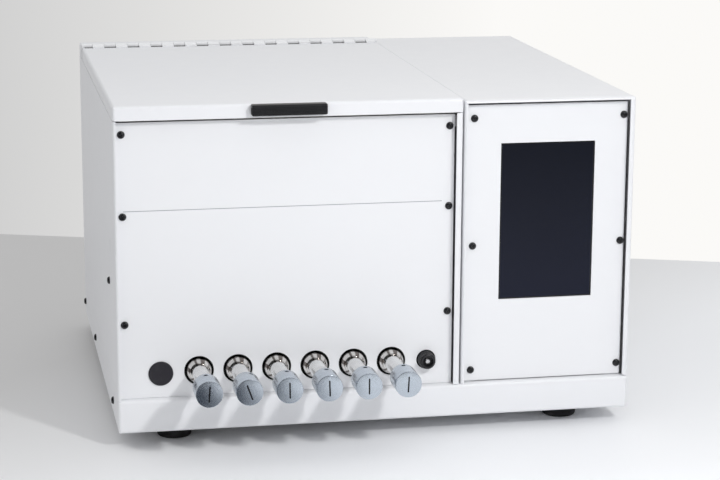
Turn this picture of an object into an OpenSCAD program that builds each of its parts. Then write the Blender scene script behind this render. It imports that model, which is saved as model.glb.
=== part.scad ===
// Bench gas chromatograph: a column oven with a hinged lid on the left and an
// electronics housing with a touch display on the right, both on one base pan.
// Millimetres, +Z up, front towards -Y, origin on the bench under the middle.
// Every module draws in case coordinates: x from the left side, y from the front,
// z from the underside of the base pan. in_frame() moves them to the origin.

/* [Case] */
// Width over the base pan
body_w = 498; // [490:1:510]
// Depth of the base pan
body_d = 457; // [445:1:480]
// Height of the base pan's flange
pan_h = 31.7; // [28:0.1:34]
// Height of the oven cabinet's walls over the pan's underside
wall_h = 297.2; // [290:0.1:310]
// Height of the electronics housing over the pan's underside
housing_h = 308.6; // [300:0.1:320]
// Width of the oven cabinet
cabinet_w = 328.6; // [322:0.1:332]
// Gap between the oven cabinet and the housing
case_gap = 1.7; // [1:0.1:3]
// Thickness of the case sheet
sheet = 1.5; // [1.2:0.1:1.8]
// Outside radius of the bends in the case sheet
bend_r = 2.8; // [2.2:0.1:2.8]
// Width of the lips round the two front openings
lip_w = 2.9; // [2.8:0.1:4]
// Gap between sheet pieces that stand on each other
seam = 0.3; // [0.2:0.05:0.5]

/* [Front panels] */
// Set-back of the front panels
panel_recess = 8; // [6:0.1:10]
// Thickness of the front panels
panel_t = 2; // [1.5:0.1:3]
// Gap between the front panels' left edges and the wall lips
panel_gap = 0.4; // [0.2:0.1:1]
// Shadow gap at the front panels' right edges
panel_shadow = 3.6; // [2:0.1:5]
// Width of the frame flanges that carry the front panels
flange_w = 14; // [12:0.5:18]
// Width of the display opening
display_w = 92.8; // [80:0.1:110]
// Height of the display opening
display_h = 152.8; // [120:0.1:180]
// Left edge of the display opening, from the housing's left side
display_x = 37.6; // [30:0.1:42]
// Lower edge of the display opening over the pan's underside
display_z = 112.8; // [100:0.1:120]
// Height of the sampling line of case screws over the pan's underside
case_screw_z = 16.5; // [14:0.1:18]

/* [Lid] */
// Height of the lid's skirt
lid_h = 13.2; // [11:0.1:16]
// Gap under the lid's skirt
lid_gap = 0.8; // [0.5:0.1:1.5]
// How far the lid stands out over the front
lid_nose = 1; // [0:0.1:2]
// Distance of the hinge axis from the back
hinge_back = 43; // [40:0.5:60]
// Outside diameter of the hinge knuckles
knuckle_od = 6.4; // [6:0.1:7]
// Length of one hinge knuckle
knuckle_l = 12.7; // [10:0.1:20]
// Thickness of the hinge leaves
leaf_t = 1.2; // [0.8:0.1:1.4]
// Width of each hinge leaf from the axis
leaf_w = 15; // [12:0.5:20]
// Diameter of the hinge pin
pin_d = 3.2; // [2.6:0.1:3.4]
// Width of the lid handle
handle_w = 70.6; // [60:0.1:90]
// Left end of the lid handle
handle_x = 127; // [110:1:140]

/* [Flow controls] */
// Number of flow controllers
control_n = 6; // [4:1:6]
// Centre of the first flow controller
control_x = 77.4; // [70:0.1:80]
// Spacing of the flow controllers
control_pitch = 37.05; // [35:0.05:38]
// Height of the controls over the pan's underside
control_z = 56.4; // [55:0.1:60]
// Diameter of the control holes in the panel
control_hole_d = 28.2; // [27.4:0.1:30]
// Diameter of the control knobs
knob_d = 25; // [22:0.1:28]
// Length of the control knobs
knob_l = 26.4; // [22:0.1:30]
// How far the knobs' faces stand out over the front
knob_out = 72; // [66:0.1:78]
// Diameter of the bonnets' necks
neck_d = 15; // [12:0.1:16]
// Diameter of the control stems
stem_d = 6; // [5:0.1:8]
// Spacing from the last flow controller to the purge valve
purge_pitch = 34.4; // [33:0.1:36]
// Diameter of the purge valve's panel hole
purge_hole_d = 19; // [18:0.1:20]
// Diameter of the purge knob
purge_knob_d = 16.6; // [15:0.1:17]
// Diameter of the hole plug's head
plug_d = 23.4; // [20:0.1:26]
// Radial running clearance of shafts and pins
running = 0.05; // [0.03:0.01:0.1]

/* [Oven] */
// Thickness of the oven insulation
jacket_t = 20; // [16:1:22]
// Depth of the control bay in front of the oven
front_bay = 88; // [84:1:92]
// Depth of the motor bay behind the oven
rear_bay = 65; // [62:1:70]
// Height of the oven jacket over the pan's underside
jacket_z = 38; // [36:1:44]
// Distance of the oven deck under the top of the cabinet walls
deck_drop = 4; // [4:0.1:6]
// Thickness of the stainless oven sheet
liner_t = 1; // [0.8:0.1:1.2]
// Diameter of the fan impeller
fan_d = 130; // [100:1:140]
// Number of fan blades
fan_blades = 10; // [6:1:14]
// Diameter of the fan shaft
fan_shaft_d = 8; // [6:0.5:10]
// Mean diameter of the column coils
coil_d = 112; // [90:1:120]
// Turns of each column coil
coil_turns = 10; // [6:1:14]
// Spacing of the turns of a coil
coil_pitch = 5; // [4.2:0.1:6]
// Outside diameter of the column tube
column_d = 3.2; // [2:0.1:4]

/* [Feet and fasteners] */
// Height of the rubber feet
foot_h = 15.6; // [12:0.1:20]
// Largest diameter of the rubber feet
foot_d = 37; // [30:0.5:42]
// Distance of the feet's centres from the sides
foot_x = 56.6; // [45:0.1:65]
// Distance of the feet's centres from the front and back
foot_y = 42; // [35:0.1:60]
// Diameter of the screw heads
screw_head_d = 7.2; // [6:0.1:8]
// Diameter of the screw shanks
screw_d = 3.4; // [3:0.1:4]

/* [Hidden] */
$fn = 64;

// Outline of the whole object and its place in the frame
bulkhead_out = 16;
depth_all = knob_out + body_d + bulkhead_out;
front_y = knob_out - depth_all / 2;

// Case levels and edges
housing_x = cabinet_w + case_gap;
housing_w = body_w - housing_x;
wall_z = pan_h + seam;
panel_y = panel_recess;
flange_y = panel_recess + panel_t + seam / 3;
panel_z = pan_h + 0.2;
display_panel_z = pan_h + 1;
lid_z = wall_h + lid_gap;
lid_top = lid_z + lid_h;
oven_panel_top = lid_z - 3;
oven_panel_x = [lip_w + panel_gap, cabinet_w - lip_w - panel_shadow];
display_panel_x = [housing_x + lip_w + panel_gap, body_w - lip_w - panel_shadow + 0.6];
display_panel_top = housing_h - lip_w - 3;
pan_ledge = flange_y - 0.2;
frame_depth = 26;
tab_t = 1.5;
tab_z = 6;

// Hinge: its leaves lie under the sheets they join
hinge_y = body_d - hinge_back;
hinge_z = lid_top - sheet - leaf_t + knuckle_od / 2;
knuckle_gap = 0.3;
knuckle_n = ceil(cabinet_w / knuckle_l);
slot_clear = 1;
lid_edge = knuckle_od / 2 + slot_clear;

// Oven
jacket_x = sheet + 4.5;
jacket_w = cabinet_w - 2 * jacket_x;
jacket_d = body_d - front_bay - rear_bay;
deck_z = wall_h - deck_drop - liner_t;
jacket_h = deck_z - jacket_z - seam;
oven_x = jacket_x + jacket_t;
oven_y = front_bay + jacket_t;
oven_z = jacket_z + jacket_t;
oven_w = jacket_w - 2 * jacket_t;
oven_d = jacket_d - 2 * jacket_t;
oven_mid_x = oven_x + oven_w / 2;
plug_gap = 6;
fan_z = oven_z + 108;
fan_y = oven_y + oven_d - 34;
coil_z = oven_z + 92;
coil_y = oven_y + 78;
coil_off = 66;
bracket_z = oven_z + 186;
half_turns = 2 * coil_turns + 1;
half_step = coil_pitch / 2;
coil_l = half_turns * half_step;
coil_tilt = atan(half_step / coil_d);
coil_arc_r = sqrt(coil_d * coil_d + half_step * half_step) / 2;
riser_l = bracket_z - coil_z + 12;
valve_z = oven_z + 132;

// Controls
control_xs = [for (i = [0:control_n - 1]) control_x + i * control_pitch];
purge_x = control_xs[control_n - 1] + purge_pitch;
body_y = flange_y + 2.5;
controller_side = 30;
controller_l = 42;
knob_face = -knob_out;
neck_end = knob_face + knob_l - 2.4;
plug_x = 41.2;

// Case screws: distances from the front, and the one at half height
case_screw_ys = [56.7, 287.8, body_d - 12];
side_screw = [74.7, 131.2];
rear_screw_zs = [60, 170, 280];

oven_screw_zs = [103.8, 207, oven_panel_top - 11];
display_screw_zs = [43.5, 166.7, display_panel_top - 12.5];
oven_screw_xs = [8.1, cabinet_w - 11.2];
display_screw_xs = [housing_x + 11, body_w - 9.5];
display_x0 = housing_x + display_x;

module in_frame() {
    translate([-body_w / 2, front_y, foot_h]) children();
}

// ---- shared shapes ----

// Rectangle with four round corners
module round_plate(w, d, r) {
    translate([r, 0]) square([w - 2 * r, d]);
    translate([0, r]) square([w, d - 2 * r]);
    for (x = [r, w - r], y = [r, d - r]) translate([x, y]) circle(r);
}

// Rectangle whose two upper corners are round
module round_top(w, h, r) {
    square([w, h - r]);
    translate([r, 0]) square([w - 2 * r, h]);
    for (x = [r, w - r]) translate([x, h - r]) circle(r);
}

// Folded sheet form with its closed side up and its bends rounded
module folded_form(w, d, h, r) {
    intersection() {
        linear_extrude(h) round_plate(w, d, r);
        translate([0, d, 0]) rotate([90, 0, 0]) linear_extrude(d) round_top(w, h, r);
        rotate([90, 0, 90]) linear_extrude(w) round_top(d, h, r);
    }
}

// Hollow lid of sheet with its closed side up
module folded_cover(w, d, h) {
    difference() {
        folded_form(w, d, h, bend_r);
        translate([sheet, sheet, -sheet]) folded_form(w - 2 * sheet, d - 2 * sheet, h, bend_r - sheet);
    }
}

// Cylinder along Y from y0 to y1
module rod_y(x, z, y0, y1, d) {
    translate([x, y0, z]) rotate([-90, 0, 0]) cylinder(h = y1 - y0, d = d);
}

// Cylinder along X from x0 to x1
module rod_x(y, z, x0, x1, d) {
    translate([x0, y, z]) rotate([0, 90, 0]) cylinder(h = x1 - x0, d = d);
}

// Block given by its two end corners
module block(low, high) {
    translate(low) cube(high - low);
}

// Round solid about the -Y direction from [distance, radius] pairs
module turned(x, y, z) {
    translate([x, y, z]) rotate([90, 0, 0]) rotate_extrude() children();
}

// Pan-head screw pointing along +Z with a cross recess in its head
module pan_screw(l) {
    head_h = 2.4;
    recess = [4.2, 0.9];
    difference() {
        union() {
            intersection() {
                translate([0, 0, -head_h]) cylinder(h = head_h, d = screw_head_d);
                translate([0, 0, 4.6 - head_h]) sphere(r = 4.6 + 0.25);
            }
            cylinder(h = l, d = screw_d);
        }
        for (a = [0, 90]) rotate([0, 0, a])
            translate([-recess[0] / 2, -recess[1] / 2, -head_h - 1]) cube([recess[0], recess[1], 2.2]);
    }
}

// Hexagon prism along Z, w across its flats
module hex_bar(w, l) {
    cylinder(h = l, d = w / cos(30), $fn = 6);
}

// Quarter bend of a tube about +Z from the +X side to the +Y side
module quarter_bend(r, d) {
    rotate_extrude(angle = 90) translate([r, 0]) circle(d = d, $fn = 24);
}

// ---- base ----

module base_pan() {
    color("whitesmoke") difference() {
        union() {
            difference() {
                translate([0, 0, pan_h]) mirror([0, 0, 1]) folded_form(body_w, body_d, pan_h, bend_r);
                translate([sheet, sheet, pan_h + sheet]) mirror([0, 0, 1])
                    folded_form(body_w - 2 * sheet, body_d - 2 * sheet, pan_h, bend_r - sheet);
            }
            block([sheet / 2, sheet / 2, pan_h - sheet], [body_w - sheet / 2, pan_ledge, pan_h]);
        }
        translate([-1, 0, pan_h]) edge_round(body_w + 2, bend_r);
        for (x = [foot_x, body_w - foot_x], y = [foot_y, body_d - foot_y])
            translate([x, y, -1]) cylinder(h = sheet + 2, d = screw_d + 0.6);
        for (y = case_screw_ys) rod_x(y, case_screw_z, -1, body_w + 1, screw_d + 0.4);
        pan_vents();
    }
}

// Cutter that rounds an edge along X on the front top side
module edge_round(l, r) {
    rotate([90, 0, 90]) linear_extrude(l) difference() {
        translate([-1, -r]) square([r + 1, r + 1]);
        translate([r, -r]) circle(r);
    }
}

// Cooling slots in the floor under the electronics
module pan_vents() {
    for (i = [0:8])
        translate([housing_x + housing_w / 2 - 30, body_d / 2 - 108 + i * 12, -1])
            linear_extrude(sheet + 2) round_plate(60, 4, 1.9);
}

module rubber_feet() {
    color("#26262a") for (x = [foot_x, body_w - foot_x], y = [foot_y, body_d - foot_y])
        translate([x, y, -foot_h]) foot();
}

// Tapered foot with a recess for its screw head
module foot() {
    rotate_extrude() difference() {
        polygon([[3, 0], [foot_d / 2 - 3.2, 0], [foot_d / 2 - 2.2, 1], [foot_d / 2, foot_h - 1.5],
            [foot_d / 2 - 0.6, foot_h], [screw_d / 2 + 0.2, foot_h], [screw_d / 2 + 0.2, 5], [3, 5]]);
        square([6.5, 5]);
    }
}

module foot_screws() {
    color("silver") for (x = [foot_x, body_w - foot_x], y = [foot_y, body_d - foot_y])
        translate([x, y, 0]) {
            translate([0, 0, -foot_h + 5]) pan_screw(foot_h - 5 + sheet + 4);
            translate([0, 0, sheet]) difference() {
                hex_bar(7, 3);
                translate([0, 0, -1]) cylinder(h = 5, d = screw_d);
            }
        }
}

// Black screws of the case: side flanges, side walls, front and rear panels
module case_screws() {
    color("#1b1b1e") {
        for (x = oven_screw_xs, z = oven_screw_zs)
            translate([x, panel_y, z]) rotate([-90, 0, 0]) pan_screw(8);
        for (x = display_screw_xs, z = display_screw_zs)
            translate([x, panel_y, z]) rotate([-90, 0, 0]) pan_screw(8);
        for (y = case_screw_ys) {
            translate([0, y, case_screw_z]) rotate([0, 90, 0]) pan_screw(6);
            translate([body_w, y, case_screw_z]) rotate([0, -90, 0]) pan_screw(6);
        }
        translate([0, side_screw[0], side_screw[1]]) rotate([0, 90, 0]) pan_screw(5);
        translate([body_w, side_screw[0], side_screw[1]]) rotate([0, -90, 0]) pan_screw(5);
        for (z = rear_screw_zs, x = [7, cabinet_w - 7, housing_x + 9, body_w - 9])
            translate([x, body_d, z]) rotate([90, 0, 0]) pan_screw(5);
    }
}

// ---- oven cabinet ----

// Side wall seen from above, its outer face on x = 0
module side_wall_plan() {
    rear_flange_w = 14;
    difference() {
        union() {
            translate([0, bend_r]) square([sheet, body_d - sheet - seam - bend_r]);
            translate([bend_r, 0]) square([lip_w - bend_r + 0.01, sheet]);
            intersection() {
                translate([bend_r, bend_r]) circle(bend_r);
                square(bend_r);
            }
        }
        translate([bend_r, bend_r]) circle(bend_r - sheet);
    }
    translate([0, body_d - 2 * sheet - seam]) square([rear_flange_w, sheet]);
}

module cabinet_side() {
    difference() {
        union() {
            translate([0, 0, wall_z]) linear_extrude(wall_h - wall_z) side_wall_plan();
            tab_block();
        }
        for (y = case_screw_ys) rod_x(y, case_screw_z, -1, 2 * sheet + 3, screw_d + 0.4);
        rod_x(side_screw[0], side_screw[1], -1, sheet + 1, screw_d + 0.2);
        for (z = rear_screw_zs) rod_y(7, z, body_d - 8, body_d + 1, screw_d + 0.2);
        block([sheet + 0.01, body_d - 8, deck_z - 2], [20, body_d, wall_h + 1]);
    }
}

// Inner tab that hangs inside the pan's side flange and carries its screws
module tab_block() {
    tab_y = flange_y + frame_depth + 4;
    tab_top = pan_h + 7;
    block([sheet + 0.2, tab_y, tab_z], [sheet + 0.2 + tab_t, body_d - 10, tab_top]);
    block([sheet / 2, tab_y, pan_h + 3], [sheet + 0.2 + tab_t, body_d - 10, tab_top]);
}

module cabinet_left_side() {
    color("whitesmoke") difference() {
        cabinet_side();
        translate([-1, 59.7, 163]) rotate([90, 0, 90]) linear_extrude(sheet + 2) round_plate(1.8, 12, 0.85);
    }
}

module cabinet_right_side() {
    color("whitesmoke") difference() {
        translate([cabinet_w, 0, 0]) mirror([1, 0, 0]) difference() {
            union() {
                translate([0, 0, wall_z]) linear_extrude(wall_h - wall_z) side_wall_plan();
            }
            for (z = rear_screw_zs) rod_y(7, z, body_d - 8, body_d + 1, screw_d + 0.2);
            block([sheet + 0.01, body_d - 8, deck_z - 2], [20, body_d, wall_h + 1]);
        }
    }
}

module oven_rear_panel() {
    color("whitesmoke") difference() {
        block([0, body_d - sheet, wall_z], [cabinet_w, body_d, wall_h]);
        for (z = rear_screw_zs, x = [7, cabinet_w - 7]) rod_y(x, z, body_d - 5, body_d + 1, screw_d + 0.2);
        for (x = bulkhead_xs) rod_y(x, bulkhead_z, body_d - 5, body_d + 1, bulkhead_hole_d);
        for (i = [-5:5]) translate([oven_mid_x + i * 10 - 2, body_d + 1, fan_z - 30])
            rotate([90, 0, 0]) linear_extrude(sheet + 2) round_plate(4, 60, 1.9);
    }
}

// Fixed strip of the top behind the hinge, with the same skirt as the lid
module rear_top_cover() {
    y0 = hinge_y + lid_edge;
    color("whitesmoke") difference() {
        translate([0, y0 - 12, lid_z]) folded_cover(cabinet_w, body_d - y0 + 12, lid_h);
        block([-1, y0 - 13, lid_z - 1], [cabinet_w + 1, y0, lid_top + 1]);
    }
    color("whitesmoke") for (side = [0, 1]) translate([side * cabinet_w, 0, 0]) mirror([side, 0, 0])
        block([sheet - 0.3, y0 + 1, lid_z], [2 * sheet, body_d - 4 * sheet, lid_z + 4]);
}

module oven_front_panel() {
    color("white") difference() {
        block([oven_panel_x[0], panel_y, panel_z], [oven_panel_x[1], panel_y + panel_t, oven_panel_top]);
        for (x = oven_screw_xs, z = oven_screw_zs) rod_y(x, z, 0, flange_y + 5, screw_d + 0.4);
        for (x = control_xs) rod_y(x, control_z, 0, flange_y + 5, control_hole_d);
        rod_y(purge_x, control_z, 0, flange_y + 5, purge_hole_d);
        rod_y(plug_x, control_z - 1.2, 0, flange_y + 5, plug_d - 4);
    }
}

// Frames inside the two bays that carry the front panels: posts with flanges and a rail
module panel_frames() {
    color("dimgray") {
        panel_frame(oven_panel_x, oven_panel_top - 1, oven_screw_xs, oven_screw_zs);
        panel_frame(display_panel_x, display_panel_top - 1, display_screw_xs, display_screw_zs);
    }
}

module panel_frame(span, top, screw_xs, screw_zs) {
    low = sheet + 0.2;
    web_top = deck_z - 11;
    difference() {
        union() {
            for (side = [0, 1]) {
                x0 = side == 0 ? span[0] : span[1] - flange_w;
                web = side == 0 ? span[0] : span[1] - sheet;
                block([x0, flange_y, low], [x0 + flange_w, flange_y + sheet, top]);
                block([web, flange_y, low], [web + sheet, flange_y + frame_depth, web_top]);
                block([x0, flange_y, low], [x0 + flange_w, flange_y + frame_depth, low + sheet]);
            }
            block([span[0], flange_y, top - 10], [span[1], flange_y + sheet, top]);
        }
        for (x = screw_xs, z = screw_zs) rod_y(x, z, 0, flange_y + 5, screw_d + 0.2);
    }
}

module hole_plug() {
    head_t = 1.4;
    color("#2a2a2e") turned(plug_x, panel_y + panel_t + 4, control_z - 1.2) polygon([
        [0, panel_t], [plug_d / 2 - 2.9, panel_t], [plug_d / 2 - 2.9, 0], [plug_d / 2 - 2.1, 0],
        [plug_d / 2 - 2.1, panel_t + 4], [plug_d / 2, panel_t + 4], [plug_d / 2, panel_t + 4 + head_t - 0.5],
        [plug_d / 2 - 0.6, panel_t + 4 + head_t], [0, panel_t + 4 + head_t]]);
}

// ---- lid and hinge ----

module lid_shell() {
    y1 = hinge_y - lid_edge;
    color("white") difference() {
        translate([0, -lid_nose, lid_z]) folded_cover(cabinet_w, y1 + lid_nose + 12, lid_h);
        block([-1, y1, lid_z - 1], [cabinet_w + 1, y1 + 20, lid_top + 1]);
        for (x = handle_screw_xs) rod_y(x, handle_screw_z, -lid_nose - 2, sheet + 2, screw_d + 0.4);
    }
}

liner_top = lid_z - 0.6;
plug_low = deck_z - 9;
lid_inset = sheet + 5;

module lid_plug(grow, low, high) {
    block([oven_x + plug_gap - grow, oven_y + plug_gap - grow, low],
        [oven_x + oven_w - plug_gap + grow, oven_y + oven_d - plug_gap + grow, high]);
}

module lid_insulation() {
    color("#e8e2cf") {
        block([lid_inset + 2, lid_inset + 2, liner_top + 0.1],
            [cabinet_w - lid_inset - 2, hinge_y - leaf_w - 1, lid_top - sheet - 0.2]);
        lid_plug(-liner_t - 0.1, plug_low + liner_t, liner_top + 1);
    }
}

// Stainless pan under the lid: a flat rim and a box that plugs the oven mouth
module lid_liner() {
    color("silver") difference() {
        union() {
            block([lid_inset, lid_inset, liner_top - liner_t],
                [cabinet_w - lid_inset, hinge_y - lid_edge - 4, liner_top]);
            lid_plug(0, plug_low, liner_top);
        }
        lid_plug(-liner_t, plug_low + liner_t, liner_top + 1);
    }
}

module lid_seal() {
    seal_w = 7;
    color("#d9d4c8") difference() {
        lid_plug(plug_gap + 3 + seal_w, deck_z + liner_t * 2 + 0.3, liner_top - liner_t);
        lid_plug(plug_gap + 3, deck_z, liner_top);
    }
}

handle_d = 8.8;
handle_z = lid_z + 2.6;
handle_h = lid_h - 2.8;
handle_screw_z = handle_z + handle_h / 2 - 1.5;
handle_screw_xs = [handle_x + 12, handle_x + handle_w - 12];

// Pull handle: hooked section with a ribbed front and rounded ends
module lid_handle() {
    wall = 2.4;
    rib_n = 4;
    rib_pitch = (handle_h - 2) / rib_n;
    color("#1e1e22") difference() {
        translate([handle_x, -lid_nose, 0]) intersection() {
            translate([0, 0, handle_z]) rotate([90, 0, 0]) linear_extrude(handle_d)
                round_plate(handle_w, handle_h, 2.6);
            mirror([0, 1, 0]) linear_extrude(lid_top + 1) round_top(handle_w, handle_d, 2.2);
        }
        block([handle_x + wall, -lid_nose - handle_d + wall, handle_z - 1],
            [handle_x + handle_w - wall, -lid_nose - wall, handle_z + handle_h - wall]);
        for (i = [0:rib_n]) rod_x(-lid_nose - handle_d, handle_z + 1 + i * rib_pitch,
            handle_x + 2, handle_x + handle_w - 2, 0.9);
        for (x = handle_screw_xs) rod_y(x, handle_screw_z, -lid_nose - wall - 1, 1, screw_d);
    }
}

module handle_screws() {
    color("silver") for (x = handle_screw_xs) translate([x, sheet - lid_nose, handle_screw_z])
        rotate([90, 0, 0]) pan_screw(sheet + 2.2);
}

// Knuckles of one leaf: start 0 for the lid's, 1 for the fixed ones
module knuckles(start) {
    for (i = [start:2:knuckle_n - 1]) {
        high = cabinet_w - i * knuckle_l;
        low = max(0, high - knuckle_l + knuckle_gap);
        if (high - low > 2) knuckle(low, high);
    }
}

module knuckle(low, high) {
    rod_x(hinge_y, hinge_z, low, high, knuckle_od);
    block([max(low, bend_r), hinge_y - lid_edge - 1, hinge_z - knuckle_od / 2],
        [min(high, cabinet_w - bend_r), hinge_y, hinge_z - knuckle_od / 2 + leaf_t]);
}

module hinge_leaf(start) {
    difference() {
        union() {
            knuckles(start);
            block([bend_r, hinge_y - leaf_w, hinge_z - knuckle_od / 2],
                [cabinet_w - bend_r, hinge_y - lid_edge, hinge_z - knuckle_od / 2 + leaf_t]);
        }
        rod_x(hinge_y, hinge_z, -1, cabinet_w + 1, pin_d + 2 * running);
    }
}

module hinge_lid_leaf() {
    color("whitesmoke") hinge_leaf(0);
}

module hinge_fixed_leaf() {
    color("whitesmoke") translate([0, 2 * hinge_y, 0]) mirror([0, 1, 0]) hinge_leaf(1);
}

module hinge_pin() {
    color("silver") rod_x(hinge_y, hinge_z, 0.2, cabinet_w - 0.2, pin_d);
}

// ---- oven ----

// Deck round the oven mouth, two bulkheads that carry it, and the shelf under the jacket
module oven_chassis() {
    low = [sheet + 0.4, flange_y + sheet + 0.5, deck_z];
    high = [cabinet_w - sheet - 0.4, body_d - 2 * sheet - seam - 0.6, deck_z + liner_t];
    color("gainsboro") difference() {
        union() {
            difference() {
                block([low[0], low[1], low[2] - 10], high);
                block([low[0] + liner_t, low[1] + liner_t, low[2] - 11],
                    [high[0] - liner_t, high[1] - liner_t, low[2]]);
            }
            for (y = [front_bay - liner_t - 0.3, front_bay + jacket_d + 0.3])
                block([jacket_x, y, sheet + 0.1], [jacket_x + jacket_w, y + liner_t, deck_z + 0.5]);
            block([jacket_x, front_bay - 0.5, jacket_z - liner_t - 0.2],
                [jacket_x + jacket_w, front_bay + jacket_d + 0.5, jacket_z - 0.2]);
            for (y = [front_bay - 12, front_bay + jacket_d])
                block([jacket_x, y, sheet + 0.1], [jacket_x + jacket_w, y + 12, sheet + 0.1 + liner_t]);
        }
        block([oven_x, oven_y, deck_z - 1], [oven_x + oven_w, oven_y + oven_d, deck_z + 2]);
        oven_wall_holes();
        for (x = bulkhead_xs) rod_y(x, supply_z, front_bay - 4, front_bay + jacket_d + 4, line_d + 2);
        for (x = oven_screw_xs, z = oven_screw_zs) rod_y(x, z, 0, low[1] + 6, screw_d + 0.8);
    }
}

module oven_insulation() {
    color("#e6dfc8") difference() {
        block([jacket_x, front_bay, jacket_z], [jacket_x + jacket_w, front_bay + jacket_d, jacket_z + jacket_h]);
        block([oven_x, oven_y, oven_z], [oven_x + oven_w, oven_y + oven_d, deck_z + 1]);
        oven_wall_holes();
    }
}

// Holes through the oven's front and back for the valve shaft, tubes and fan shaft
module oven_wall_holes() {
    rod_y(oven_mid_x, fan_z, oven_y + oven_d - 3, front_bay + jacket_d + 4, fan_shaft_d + 4);
    rod_y(oven_mid_x, valve_z, front_bay - 4, oven_y + 3, standoff_d + 0.6);
    for (s = [-1, 1]) rod_y(oven_mid_x + s * heater_leg, heater_leg_z, oven_y + oven_d - 3,
        front_bay + jacket_d + 4, heater_tube + 2);
    for (x = control_xs) rod_y(x, feed_z, front_bay - 4, oven_y + 3, line_d + 1);
}

module oven_liner() {
    rim = 8;
    fit = 0.2;
    color("silver") difference() {
        union() {
            block([oven_x + fit, oven_y + fit, oven_z + fit],
                [oven_x + oven_w - fit, oven_y + oven_d - fit, deck_z + liner_t]);
            block([oven_x - rim, oven_y - rim, deck_z + liner_t],
                [oven_x + oven_w + rim, oven_y + oven_d + rim, deck_z + 2 * liner_t]);
        }
        block([oven_x + fit + liner_t, oven_y + fit + liner_t, oven_z + fit + liner_t],
            [oven_x + oven_w - fit - liner_t, oven_y + oven_d - fit - liner_t, deck_z + 5]);
        oven_wall_holes();
    }
}

heater_r = 74;
heater_leg = 14;
heater_leg_z = fan_z + heater_r * cos(asin(heater_leg / heater_r));
heater_tube = 7;

// Sheathed heater: an open ring round the impeller with two legs to the back
module oven_heater() {
    gap = asin(heater_leg / heater_r);
    color("#8d8478") {
        translate([oven_mid_x, fan_y, fan_z]) rotate([90, 0, 0]) rotate([0, 0, 90 + gap])
            rotate_extrude(angle = 360 - 2 * gap) translate([heater_r, 0]) circle(d = heater_tube, $fn = 24);
        for (s = [-1, 1]) rod_y(oven_mid_x + s * heater_leg, heater_leg_z, fan_y - heater_tube / 2,
            front_bay + jacket_d + 12, heater_tube);
    }
}

// Baffle in front of the fan: a round inlet, slots at its corners, and four feet
module fan_baffle() {
    edge = 14;
    y0 = fan_y - 22;
    z0 = oven_z + 14;
    z1 = oven_z + 206;
    color("silver") difference() {
        union() {
            block([oven_x + edge, y0, z0], [oven_x + oven_w - edge, y0 + liner_t, z1]);
            for (x = [oven_x + edge + 8, oven_x + oven_w - edge - 8], z = [z0 + 8, z1 - 8])
                rod_y(x, z, y0, oven_y + oven_d - liner_t - 0.3, 6);
        }
        rod_y(oven_mid_x, fan_z, y0 - 1, y0 + 3, fan_d - 44);
        for (s = [-1, 1], i = [0:6]) translate([oven_mid_x + s * 108 - 6, y0 + 2, z0 + 28 + i * 22])
            rotate([90, 0, 0]) linear_extrude(3) round_plate(12, 8, 3.9);
    }
}

module fan_motor() {
    y0 = front_bay + jacket_d + 6;
    l = rear_bay - 22;
    color("dimgray") difference() {
        union() {
            turned(oven_mid_x, y0 + l, fan_z) polygon([[0, 0], [26, 0], [30, 3], [30, l - 6], [33, l - 5],
                [33, l - 2], [14, l - 2], [14, l], [0, l]]);
            for (a = [45:90:359]) translate([oven_mid_x, 0, fan_z]) rotate([0, a, 0])
                rod_y(29, 0, front_bay + jacket_d + 0.4 + liner_t, y0 + 6, 6);
        }
        rod_y(oven_mid_x, fan_z, y0 - 1, y0 + l - 8, fan_shaft_d + 2 * running);
    }
}

module fan_shaft() {
    y1 = front_bay + jacket_d + 6 + rear_bay - 22 - 9;
    color("silver") rod_y(oven_mid_x, fan_z, fan_y - 14, y1, fan_shaft_d);
}

// Impeller: back plate, hub and blades that lean back from the radius
module fan_impeller() {
    hub_d = fan_shaft_d + 14;
    depth = 24;
    lean = 24;
    color("lightsteelblue") difference() {
        translate([oven_mid_x, fan_y + 12, fan_z]) rotate([90, 0, 0]) union() {
            cylinder(h = 1.6, d = fan_d);
            cylinder(h = depth, d = hub_d);
            for (i = [0:fan_blades - 1]) rotate([0, 0, i * 360 / fan_blades])
                translate([hub_d / 2 - 1, 0, 0]) rotate([0, 0, lean])
                    translate([0, -0.8, 0]) cube([fan_d / 2 - hub_d / 2 - 5, 1.6, depth]);
        }
        rod_y(oven_mid_x, fan_z, fan_y - 20, fan_y + 20, fan_shaft_d);
    }
}

// One packed column: half turns, each tilted by its step along the coil, two risers, and
// a thin collar where each length of tube meets the next
module column(x, y) {
    collar = [column_d + 0.2, 1];
    gap = 0.3;
    for (i = [0:half_turns - 1]) {
        side = i % 2 == 0 ? 1 : -1;
        translate([x, y + (i + 0.5) * half_step, coil_z]) rotate([0, 0, -side * coil_tilt])
            rotate([-90, 0, 0]) rotate([0, 0, gap + (side > 0 ? 0 : 180)])
                rotate_extrude(angle = 180 - 2 * gap) translate([coil_arc_r, 0]) circle(d = column_d, $fn = 24);
    }
    for (i = [0:half_turns]) translate([x + (i % 2 == 0 ? 1 : -1) * coil_d / 2, y + i * half_step,
        coil_z - collar[1] / 2]) cylinder(h = collar[1], d = collar[0]);
    for (far = [0, 1]) translate([x + (1 - 2 * far) * coil_d / 2, y + far * coil_l, coil_z + gap])
        cylinder(h = riser_l - gap, d = column_d, $fn = 24);
}

coil_x_a = oven_mid_x - coil_off;
coil_x_b = oven_mid_x + coil_off;

module column_a() {
    color("silver") column(coil_x_a, coil_y);
}

module column_b() {
    color("silver") column(coil_x_b, coil_y);
}

column_ends = [for (x = [coil_x_a, coil_x_b], far = [0, 1])
    [x + (1 - 2 * far) * coil_d / 2, coil_y + far * coil_l]];

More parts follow.
